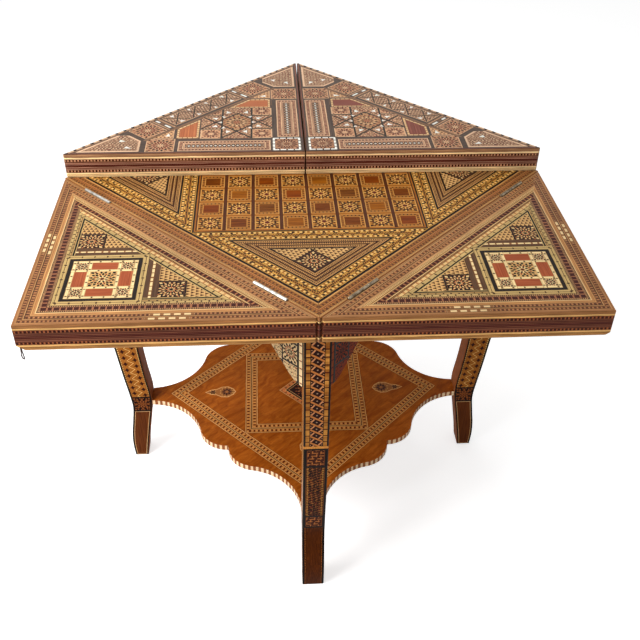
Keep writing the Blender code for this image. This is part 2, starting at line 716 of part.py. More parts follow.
clear_scene()
table = new_collection("folding_game_table")
workshop = new_collection("blanks_and_cutters")
finishes = {
    "playing_marquetry": new_material("playing_marquetry", (0.42, 0.22, 0.10), 0.35),
    "outer_marquetry": new_material("outer_marquetry", (0.36, 0.20, 0.11), 0.40),
    "banded_edge": new_material("banded_edge", (0.38, 0.18, 0.09), 0.38),
    "apron_marquetry": new_material("apron_marquetry", (0.30, 0.16, 0.08), 0.40),
    "leg_marquetry": new_material("leg_marquetry", (0.26, 0.12, 0.06), 0.38),
    "shelf_marquetry": new_material("shelf_marquetry", (0.50, 0.24, 0.08), 0.35),
    "plain_walnut": new_material("plain_walnut", (0.28, 0.15, 0.08), 0.55),
    "nickelled_steel": new_material("nickelled_steel", (0.72, 0.70, 0.66), 0.28, 1.0),
    "leather_thong": new_material("leather_thong", (0.06, 0.035, 0.03), 0.80),
}
add_top_box(finishes)
add_stand(finishes)
add_hinges({side: add_flap(side, degrees, finishes) for side, degrees in SIDE_ANGLES.items()}, finishes)
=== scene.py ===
"""Looks of the folding game table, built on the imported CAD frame.

The scene is in metres. Drawings of marquetry are in millimetres, and so is the UV map "veneer" that the
finishes read: U along a strip or a piece of veneer, and V across it.
"""

import json
import math
from collections import namedtuple

import bmesh
import bpy
from mathutils import Euler, Matrix, Vector
from mathutils.geometry import delaunay_2d_cdt


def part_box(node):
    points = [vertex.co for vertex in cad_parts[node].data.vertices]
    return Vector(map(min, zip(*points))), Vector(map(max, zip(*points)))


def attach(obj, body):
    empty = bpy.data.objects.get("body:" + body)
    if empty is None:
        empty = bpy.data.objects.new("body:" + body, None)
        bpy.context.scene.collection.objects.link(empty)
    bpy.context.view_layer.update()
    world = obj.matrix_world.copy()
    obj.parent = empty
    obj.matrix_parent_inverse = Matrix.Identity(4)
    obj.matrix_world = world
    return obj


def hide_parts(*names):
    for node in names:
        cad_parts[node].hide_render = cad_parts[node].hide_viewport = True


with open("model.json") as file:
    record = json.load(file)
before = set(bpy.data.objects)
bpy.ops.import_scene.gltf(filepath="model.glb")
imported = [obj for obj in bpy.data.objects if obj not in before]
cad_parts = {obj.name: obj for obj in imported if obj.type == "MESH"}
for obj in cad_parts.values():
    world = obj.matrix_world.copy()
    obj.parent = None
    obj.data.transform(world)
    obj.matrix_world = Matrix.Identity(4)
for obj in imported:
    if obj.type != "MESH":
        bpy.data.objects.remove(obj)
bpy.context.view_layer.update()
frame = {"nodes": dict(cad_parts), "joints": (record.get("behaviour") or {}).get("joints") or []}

# Sizes repeated from the CAD source, in millimetres
CLOSED_SIDE = 628.0
BOARD_HEIGHT = 715.0
AXIS_TO_CENTRE = 314.3
AXIS_GAP = 0.3   # from the hinge axis to the box and to the flap
FLAP_LEG = AXIS_TO_CENTRE * math.sqrt(2)   # of the flap's triangle, from its apex to a tip
MITRE_GAP = 2.5
FLAP_APEX = AXIS_TO_CENTRE - MITRE_GAP / math.sqrt(2)   # from the hinge axis
TIP_FLAT = 3.0
FLAP_UNDERSIDE, FLAP_TOP = 0.3, 46.3
PANEL_THICKNESS = 4.0
SEAT_GAP = 0.3
RAIL_MITRE = 0.15   # half the gap between two rails
LOOP_CHAMFER, SECOND_CHAMFER = 9.0, 5.0
BOX_TOP, BOX_BOTTOM = -0.3, -46.3
RAIL_WIDTH, LEDGE_WIDTH = 30.0, 10.0
BOARD_THICKNESS = 12.0
FLOOR_THICKNESS, FLOOR_REBATE = 6.0, 7.0
HINGE_LENGTH, HINGE_CENTRE = 70.0, 214.0
KNUCKLE_RADIUS, PIN_RADIUS, MIDDLE_KNUCKLE = 3.0, 1.3, 24.0
KNUCKLE_GAP = 0.15   # half the gap between two knuckles
LEAF_FACE, LEAF_BACK, LEAF_HEIGHT = 0.3, 1.9, 20.0
LEAF_SCREW_SPACING, LEAF_SCREW_DROP = 44.0, 12.0
SCREW_PROFILE = [(0.25, 0), (0.25, 2.2), (0.35, 2.65), (1.6, 1.2), (11, 1.1), (13.8, 0)]   # (depth, radius)
APRON_INSET, APRON_THICKNESS = 20.0, 16.0
APRON_MIDDLE_DROP, APRON_END_DROP = 57.0, 134.0
APRON_TOE_RADIUS, APRON_THROAT_RADIUS = 45.0, 60.0
LEG_WIDTH, LEG_DEPTH, LEG_EDGE = 43.0, 66.0, 1.2
LEG_HEIGHT = 668.7
LEG_REACH = (CLOSED_SIDE / 2 - 0.5) * math.sqrt(2) - LEG_WIDTH / 2
LEG_PROFILE = [   # (height, reach, depth), as shares of the leg's own
    (0.000, 0.936, 0.447), (0.052, 0.941, 0.545), (0.105, 0.936, 0.600), (0.167, 0.922, 0.612),
    (0.227, 0.911, 0.648), (0.284, 0.919, 0.718), (0.366, 0.936, 0.730), (0.479, 0.956, 0.768),
    (0.600, 0.980, 0.885), (0.700, 0.994, 0.965), (0.800, 1.000, 1.000), (1.000, 1.000, 1.000),
]
SHELF_HEIGHT, SHELF_THICKNESS = 171.0, 12.0
SHELF_NOTCH, SHELF_LOBE, SHELF_FLARE = 168.0, 61.0, 121.0
TENON_LENGTH, TENON_WIDTH = 10.0, 26.0

# The pull loop's route on the front left flap, in metres: (across, out of the outer face)
THONG_DIAMETER = 0.0018
LOOP_INSET = 0.0065
LOOP_ROUTE = [
    (-0.0013, -0.0100), (-0.0013, -0.0070), (-0.0013, -0.0040), (-0.0013, -0.0010), (-0.0014, 0.0020),
    (-0.0018, 0.0050), (-0.0024, 0.0080), (-0.0031, 0.0110), (-0.0035, 0.0136), (-0.0036, 0.0160),
    (-0.0033, 0.0174), (-0.0025, 0.0186), (-0.0014, 0.0193), (0.0000, 0.0196), (0.0014, 0.0193),
    (0.0025, 0.0186), (0.0033, 0.0174), (0.0036, 0.0160), (0.0035, 0.0136), (0.0031, 0.0110),
    (0.0024, 0.0080), (0.0018, 0.0050), (0.0014, 0.0020), (0.0013, -0.0010), (0.0013, -0.0040),
    (0.0013, -0.0070), (0.0013, -0.0100),
]

# Sizes of the drawings, in millimetres
FLAP_MARGIN, HINGE_MARGIN = 62.0, 66.5
CHESS_PITCH, CHESS_EDGE = 48.8, 4.0
CHESS_HALF_SQUARE, CHESS_HALF_CENTRE = 21.2, 13.4
LEG_BANDS = [   # what the front of a leg shows above each height
    (165.0, "leg_black"), (170.0, "leg_fret"), (201.0, "leg_black"), (206.0, "leg_second"),
    (358.0, "leg_black"), (363.0, "leg_fret"), (407.0, "leg_black"), (412.0, "leg_cross_strip"),
    (418.0, "leg_lattice"),
]

# The photograph's view, worked out from the corners of the top
CAMERA_PLACE = (-0.07040, -1.41981, 1.46676)
CAMERA_DEGREES = (52.3568, -0.8620, -3.4867)
SENSOR_WIDTH, FOCAL_LENGTH = 36.0, 47.53

# The studio. The floor and the world look brighter than the light that they give.
WORLD_LIGHT, WORLD_SEEN = 0.295, 1.0
FLOOR_GLOW = 0.68
FLOOR_DROP = 0.0005

ROOT_HALF = math.sqrt(0.5)
TONE_STEP, RIM_TONE_STEP = 0.6180339, 0.377   # between a piece of veneer and the next
SHARP_ANGLE = math.radians(30.0)


# The camera

def add_camera():
    lens = bpy.data.cameras.new("camera")
    lens.sensor_width = SENSOR_WIDTH
    lens.lens = FOCAL_LENGTH
    lens.clip_start, lens.clip_end = 0.1, 50.0
    camera = bpy.data.objects.new("camera", lens)
    camera.location = CAMERA_PLACE
    camera.rotation_euler = Euler([math.radians(degrees) for degrees in CAMERA_DEGREES])
    bpy.context.scene.collection.objects.link(camera)
    bpy.context.scene.camera = camera


# Frames of the sides and of the legs

def side_frames():
    """Each side's frame on its hinge axis: X along the side, Y inward, Z up. The flap's frame turns with
    the flap."""
    sides, flaps = {}, {}
    for joint in frame["joints"]:
        side = joint["name"].replace("_flap_hinge", "")
        place = Vector(joint["pos_m"])
        inward = Vector((-place.x, -place.y, 0)).normalized()
        up = Vector((0, 0, 1))
        matrix = Matrix((inward.cross(up), inward, up)).transposed().to_4x4()
        matrix.translation = place
        sides[side] = matrix
        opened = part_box(f"{side}_outer_panel")[0].z < place.z - 0.01
        flaps[side] = matrix @ Matrix.Rotation(math.pi, 4, "X") if opened else matrix.copy()
    return sides, flaps


def leg_frames():
    """Each leg's frame: X outward from the middle of the table, Y up, Z across the leg."""
    found = {}
    for place in ("front", "right", "back", "left"):
        low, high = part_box(f"{place}_leg")
        middle = (low + high) / 2
        degrees = round(math.degrees(math.atan2(middle.y, middle.x)) / 90) * 90
        found[place] = Euler((math.pi / 2, 0, math.radians(degrees))).to_matrix().to_4x4()
    return found


# Shader maths

class Wire:
    """A shader socket that takes part in sums. Each sum adds the Math node that it needs."""

    def __init__(self, tree, socket=None):
        self.tree = tree
        self.socket = socket

    def node(self, kind, settings=None, inputs=None, output=0):
        """Any other node. Its settings come first, then its sockets' links or values. Text is a colour."""
        made = self.tree.nodes.new("ShaderNode" + kind)
        for name, value in (settings or {}).items():
            if name == "stops":
                lay_stops(made.color_ramp, value)
            else:
                setattr(made, name, value)
        for name, value in (inputs or {}).items():
            if isinstance(value, Wire):
                self.tree.links.new(value.socket, made.inputs[name])
            else:
                made.inputs[name].default_value = stain(value) if isinstance(value, str) else value
        return Wire(self.tree, made.outputs[output])

    def output(self, name):
        """Another output of the node that this socket is on."""
        return Wire(self.tree, self.socket.node.outputs[name])

    def maths(self, operation, *values):
        return self.node("Math", {"operation": operation}, dict(enumerate(values)))

    def __add__(self, other):
        return self.maths("ADD", self, other)

    def __sub__(self, other):
        return self.maths("SUBTRACT", self, other)

    def __mul__(self, other):
        return self.maths("MULTIPLY", self, other)

    def __truediv__(self, other):
        return self.maths("DIVIDE", self, other)

    def __lt__(self, other):
        return self.maths("LESS_THAN", self, other)

    def __gt__(self, other):
        return self.maths("GREATER_THAN", self, other)

    def __or__(self, other):
        return self.maths("MAXIMUM", self, other)

    def __and__(self, other):
        return self.maths("MINIMUM", self, other)

    def __radd__(self, other):
        return self.maths("ADD", other, self)

    def __rsub__(self, other):
        return self.maths("SUBTRACT", other, self)

    def __rmul__(self, other):
        return self.maths("MULTIPLY", other, self)

    def __rtruediv__(self, other):
        return self.maths("DIVIDE", other, self)

    def __abs__(self):
        return self.maths("ABSOLUTE", self)


def lay_stops(ramp, stops):
    """The stops of a ramp of flat colours: a place and a colour each."""
    ramp.interpolation = "CONSTANT"
    while len(ramp.elements) > 1:
        ramp.elements.remove(ramp.elements[-1])
    for i, (place, colour) in enumerate(stops):
        element = ramp.elements[0] if i == 0 else ramp.elements.new(place)
        element.position = place
        element.color = stain(colour)


def stain(colour):
    """The shader's own colour, from red, green and blue in hexadecimal, as they look on a screen."""
    found = []
    for part in bytes.fromhex(colour):
        share = part / 255
        found.append(share / 12.92 if share <= 0.04045 else ((share + 0.055) / 1.055) ** 2.4)
    return (*found, 1.0)


# Colours of veneers that recur
CREAM = "e2bc7e"
PALE_CREAM = "f0d298"
OLIVE_CREAM = "c4a368"
GOLD = "d49c48"
TAN = "ac784a"
TAN_ORANGE = "bc824e"
TAN_BROWN = "8e5e38"
BROWN = "684024"
DARK_BROWN = "442818"
EBONY = "120c09"
RED_LINE = "863a26"
DARK_RED = "5c2016"
PEARL = "f4f0e4"
PURPLE_BROWN = "5e2e20"
SMOKED_LIGHT = "dcb48c"
SMOKED_DARK = "463228"


def inlaid(ground, mask, colour):
    """The colour where the mask is 1, and the ground elsewhere."""
    return mask.node("Mix", {"data_type": "RGBA"}, {0: mask, 6: ground, 7: colour}, 2)


def even(colour, wire):
    """The same colour everywhere, as a wire."""
    return inlaid(colour, wire * 0.0, colour)


def shaded(colour, amount):
    """The colour, darkened or lightened by a factor."""
    return amount.node("VectorMath", {"operation": "SCALE"}, {0: colour, 3: amount})


def between(value, low, high):
    """1 where the value lies between the two, and 0 elsewhere."""
    return value.maths("COMPARE", value, (low + high) / 2, (high - low) / 2)


def wrapped(value, pitch):
    """The distance from the nearest multiple of the pitch, with its sign."""
    return value.maths("WRAP", value, pitch / 2, -pitch / 2)


def ranged(value, low, high, new_low, new_high):
    """The value, carried over from one range to another and held at its ends."""
    return value.node("MapRange", None, {0: value, 1: low, 2: high, 3: new_low, 4: new_high})


def picked(number):
    """A number from 0 to 1 that is the same for the same whole number."""
    return number.node("TexWhiteNoise", {"noise_dimensions": "1D"}, {"W": number})


def noise(x, y, z, detail=2.0):
    place = x.node("CombineXYZ", None, {0: x, 1: y, 2: z})
    return clouds(place, 1.0, detail)


def clouds(place, scale, detail):
    return place.node("TexNoise", None, {"Vector": place, "Scale": scale, "Detail": detail})


def bump(height, strength, distance):
    return height.node("Bump", None, {"Strength": strength, "Distance": distance, "Height": height})


def fibres(u, v, tone, width=1.2, length=45.0):
    """Streaks along the grain, from 0 to 1."""
    return ranged(noise(u / length, v / width, tone * 70.0, 3.0), 0.3, 0.7, 0.0, 1.0)


finishes = {}


def new_finish(name):
    """A new finish: its shader, and a wire to start its nodes from."""
    material = bpy.data.materials.new(name)
    material.use_nodes = True
    finishes[name] = material
    return material.node_tree.nodes["Principled BSDF"], Wire(material.node_tree)


def lead(shader, colour, roughness, relief):
    """Leads the three wires to the shader's sockets."""
    for name, wire in (("Base Color", colour), ("Roughness", roughness), ("Normal", relief)):
        wire.tree.links.new(wire.socket, shader.inputs[name])


def finish(name, paint, roughness=0.36, specular=0.07, streaks=0.16, cloud=0.10):
    """A finish in veneer: paint works out its colour from U, V and the tone of its piece."""
    shader, start = new_finish(name)
    u = start.node("SeparateXYZ", None, {0: start.node("UVMap", {"uv_map": "veneer"})})
    v = u.output("Y")
    tone = start.node("Attribute", {"attribute_name": "tone"}).output("Fac")
    grain = fibres(u, v, tone)
    colour = shaded(paint(u, v, tone, grain), ranged(grain, 0.0, 1.0, 1.0 - streaks, 1.0 + streaks))
    place = start.node("TexCoord").output("Object")
    patches = ranged(clouds(place, 9.0, 2.0), 0.3, 0.7, 1.0 - cloud, 1.0 + cloud)
    polish = ranged(clouds(place, 45.0, 3.0), 0.3, 0.7, roughness - 0.06, roughness + 0.06)
    lead(shader, shaded(colour, patches), polish, bump(grain, 0.25, 0.0002))
    shader.inputs["Specular IOR Level"].default_value = specular


# How veneers are painted. Each function returns one that works out a colour from U and V in millimetres.

def wood(dark, light, width=1.2, length=45.0):
    """Plain veneer with its streaks."""
    def paint(u, v, tone, grain):
        streaks = fibres(u, v, tone + 0.37, width, length)
        wide = fibres(u, v, tone + 0.71, width * 6, length * 3)
        return inlaid(inlaid(dark, streaks, light), wide * 0.45, dark)
    return paint


def burl(dark, light):
    """Burl veneer, whose figure runs every way, though mostly aslant."""
    def paint(u, v, tone, grain):
        x, y = (u + v) * 0.7, (v - u) * 0.7
        warp = noise(x / 60, y / 60, tone * 9, 3.0)
        curls = noise(x / 40 + warp * 4, y / 12 - warp * 3, tone * 5, 5.0)
        fine = noise(x / 16 + warp * 7, y / 2.4 + warp * 6, tone, 3.0)
        eyes = ranged(noise(u / 7, v / 5, tone, 2.0), 0.62, 0.72, 0.0, 1.0)
        colour = inlaid(dark, ranged(curls, 0.34, 0.66, 0.0, 1.0), light)
        colour = shaded(colour, ranged(fine, 0.32, 0.68, 0.84, 1.14))
        return inlaid(colour, eyes * 0.6, dark)
    return paint


def rows(width, lines, dashes=()):
    """Lines that run along U, one after another across V, and rows of dashes on them. A line is its start
    and its colour. A row of dashes is its start and its end, its pitch, length, shift and colour."""
    stops = [(place / width, colour) for place, colour in lines]

    def paint(u, v, tone, grain):
        wander = ranged(noise(u / 18, v / 40, tone * 13, 1.0), 0.0, 1.0, -0.5, 0.5)
        across = v + wander
        colour = u.node("ValToRGB", {"stops": stops}, {0: across / width})
        colour = shaded(colour, ranged(noise(u / 60, v / 3, tone * 5, 1.0), 0.3, 0.7, 0.84, 1.16))
        for low, high, pitch, length, shift, ink in dashes:
            along = u + wander * 1.5 + shift
            size = ranged(picked(along.maths("FLOOR", along / pitch + 0.5)), 0.0, 1.0, 0.40, 0.58)
            mask = between(across, low, high) & (abs(wrapped(along, pitch)) < size * length)
            colour = inlaid(colour, mask, ink)
        return colour
    return paint


def patched(painter, half, bands, pitch, length, ink):
    """The same rows, with larger dashes near U = 0 on some bands. A band is its start and end across V, and
    its shift."""
    def paint(u, v, tone, grain):
        colour = painter(u, v, tone, grain)
        for low, high, shift in bands:
            near = (abs(u - shift) < half) & between(v, low, high)
            dash = abs(wrapped(u - shift + pitch / 2, pitch)) < length / 2
            colour = inlaid(inlaid(colour, near, TAN_BROWN), near & dash, ink)
        return colour
    return paint


def lozenges(radius, angle, count, turn, middle, length, width):
    """A ring of lozenges that point away from the centre."""
    sector = math.tau / count
    aside = wrapped(angle - turn * sector, sector)
    out = abs(radius * aside.maths("COSINE", aside) - middle) / length
    return (out + abs(radius * aside.maths("SINE", aside)) / width) < 1.0


def rosette(ground, rings, frame_half=None, frame_width=2.0, frame_ink=CREAM):
    """A mosaic round U = V = 0: rings of lozenges inside a square frame. A ring is a count, a turn, a middle
    radius, half a length, half a width and a colour."""
    def paint(u, v, tone, grain):
        radius = u.maths("SQRT", u * u + v * v)
        angle = v.maths("ARCTAN2", v, u)
        colour = even(ground, grain)
        for count, turn, middle, length, width, ink in rings:
            colour = inlaid(colour, lozenges(radius, angle, count, turn, middle, length, width), ink)
        if frame_half:
            edge = (abs(u) | abs(v)) > (frame_half - frame_width)
            colour = inlaid(colour, edge, frame_ink)
        return colour
    return paint


def speckle(ground, inks, pitch):
    """A small mosaic of lozenges of many sizes on a bent lattice. Each ink has its place in the lattice's
    cell, and half its length and width as shares of the pitch."""
    def paint(u, v, tone, grain):
        colour = even(ground, grain)
        bend = ranged(noise(u / 11, v / 11, tone * 17, 1.0), 0.3, 0.7, -0.3 * pitch, 0.3 * pitch)
        for ink, x, y, length, width in inks:
            row = (v - bend).maths("FLOOR", (v - bend) / pitch - y)
            across = abs(wrapped(v - bend - (y + 0.5) * pitch, pitch))
            place = u + bend - x * pitch + row * (pitch / 2)
            size = ranged(picked(row * 17.3 + place.maths("ROUND", place / pitch)), 0.0, 1.0, 0.55, 1.35)
            out = abs(wrapped(place, pitch)) / (pitch * length) + across / (pitch * width)
            colour = inlaid(colour, out < size, ink)
        return colour
    return paint


def dotted(ground, ink, pitch, size):
    """Rows of small triangles on a ground."""
    def paint(u, v, tone, grain):
        row = v.maths("FLOOR", v / pitch)
        across = (v / pitch - row) - 0.5
        along = wrapped(u + row * (pitch / 2), pitch) / pitch
        mask = (abs(along) * 2 + across) < size
        inside = abs(across) < size
        return inlaid(ground, mask & inside & (abs(along) < size), ink)
    return paint


def framed_square():
    """The plain squares' frame: a light line, then a ring of dark ticks."""
    def paint(u, v, tone, grain):
        far = abs(u) | abs(v)
        near = abs(u) & abs(v)
        colour = inlaid("9c6026", far > 19.8, "ca924c")
        tick = (abs(wrapped(near, 6.6)) < 1.2) & between(far, 15.6, 19.2)
        colour = inlaid(colour, tick, "2e160a")
        return inlaid(colour, between(far, 13.6, 14.7), "c48a42")
    return paint


def pearl_sheet():
    """Mother-of-pearl, with its soft green and pink bands."""
    def paint(u, v, tone, grain):
        bands = noise(u / 9, v / 5, tone * 31, 2.0)
        colour = inlaid(PEARL, ranged(bands, 0.35, 0.55, 0.6, 0.0), "dae4d4")
        return inlaid(colour, ranged(bands, 0.5, 0.7, 0.0, 0.6), "f0dad4")
    return paint


def pearl_dots():
    """A dark band with a row of pearl dots, between rows of small leaves."""
    def paint(u, v, tone, grain):
        along = abs(wrapped(u, 8.2))
        across = abs(v - 7.5)
        colour = inlaid("b48666", across < 6.2, "46322a")
        leaf = (abs(along - 4.1) / 1.8 + abs(across - 3.8) / 2.4) < 1.0
        colour = inlaid(colour, leaf, "c49670")
        return inlaid(colour, ((along + across) < 2.7) & (abs(u) < 74.0), "e8decc")
    return paint


def edge_strips(colour, u, side):
    """The golden strips on both sides of a leg's front, with dark red ticks, and the black edges."""
    piece = picked(u.maths("FLOOR", u / 5.3))
    colour = inlaid(colour, side > 10.8, EBONY)
    strip = between(side, 11.8, 18.2)
    colour = inlaid(colour, strip, inlaid("8c4e18", piece, "d49242"))
    return inlaid(colour, strip & (abs(wrapped(u, 16.0)) < 1.3), "4a160a")


def leg_lattice():
    """Ribbons that run down to the right, and short light strokes between them, on black."""
    def paint(u, v, tone, grain):
        across = v - LEG_WIDTH / 2
        pitch = 16.6
        ground = "240c07"
        colour = inlaid(ground, abs(abs(across) - 9.6) + abs(wrapped(u, 5.5)) < 1.2, "c48c60")
        stroke = abs(wrapped(u + across * 1.3 + (across > 0.0) * 7.7 - 3.85, pitch))
        colour = inlaid(colour, (stroke < 2.1) & between(abs(across), 2.4, 10.0), "d08a5a")
        ribbon = abs(wrapped(u - across * 0.66 - pitch / 2, pitch))
        colour = inlaid(inlaid(colour, ribbon < 3.0, ground), ribbon < 2.1, "be743a")
        middle = abs(wrapped(u, pitch)) + abs(across)
        colour = inlaid(inlaid(colour, middle < 2.6, ground), middle < 1.6, "b08c70")
        return edge_strips(colour, u, abs(across))
    return paint


def leg_fret():
    """A square of scrolls cut from light wood, between black lines."""
    def paint(u, v, tone, grain):
        across = v - LEG_WIDTH / 2
        side = abs(across)
        along = wrapped(u - 385.0, 199.5)
        line = (abs(wrapped(along, 8.0)) < 1.2) & (abs(wrapped(across + along * 0.4, 14.0)) > 2.6)
        post = (abs(wrapped(across + 1.5, 7.4)) < 1.1) & (abs(wrapped(along + across, 16.0)) > 4.4)
        colour = inlaid("3a180a", line | post, "a4602e")
        colour = inlaid(colour, side > 14.2, "683416")
        return inlaid(colour, side > 15.6, EBONY)
    return paint


def leg_second():
    """A dense dark mosaic with rows of light beads along both sides."""
    body = speckle("2e1406", [
        ("8e5622", 0.0, 0.0, 0.26, 0.28), ("5e220e", 0.5, 0.0, 0.24, 0.34),
        ("100703", 0.25, 0.5, 0.34, 0.28), ("784218", 0.75, 0.5, 0.20, 0.22),
    ], 7.6)

    def paint(u, v, tone, grain):
        across = v - LEG_WIDTH / 2
        side = abs(across)
        colour = body(u, v, tone, grain)
        colour = inlaid(colour, (abs(wrapped(u + 2.7, 5.5)) + abs(side - 13.4)) < 2.0, "ac7432")
        return inlaid(inlaid(colour, side > 15.8, "683814"), side > 16.8, EBONY)
    return paint


def flank_mosaic():
    """The legs' sides: dark stars on gold, on both sides of a light zigzag. U runs up the leg."""
    def paint(u, v, tone, grain):
        pitch = 17.0
        wave = abs(wrapped(u, pitch)) * (24.0 / pitch) - 6.0
        near = abs(v - wave)
        colour = inlaid("9e5e22", near < 2.8, "703614")
        colour = inlaid(colour, near < 1.3, "e8b260")
        for shift, place in ((0.0, 11.0), (pitch / 2, -11.0)):
            along = abs(wrapped(u + shift, pitch))
            star = (along / 6.0 + abs(v - place) / 4.0) < 1.0
            cross = (along / 2.6 + abs(v - place) / 7.0) < 1.0
            colour = inlaid(colour, star | cross, "301008")
        dots = (abs(wrapped(u, 5.6)) < 1.7) & between(abs(v), 18.6, 21.6)
        return inlaid(inlaid(colour, abs(v) > 18.0, "78421a"), dots, "ecbe70")
    return paint


def apron_panel(ground, red):
    """A rosette's leaves on cream, as on the panel beside each leg."""
    return rosette(ground, [
        (12, 0.0, 13.0, 4.6, 2.2, EBONY), (12, 0.5, 9.0, 3.6, 1.6, red), (8, 0.0, 4.2, 3.4, 1.5, EBONY),
        (16, 0.5, 19.5, 3.6, 2.6, EBONY), (16, 0.0, 24.5, 3.0, 2.2, red), (16, 0.5, 29.5, 3.4, 2.6, EBONY),
    ])


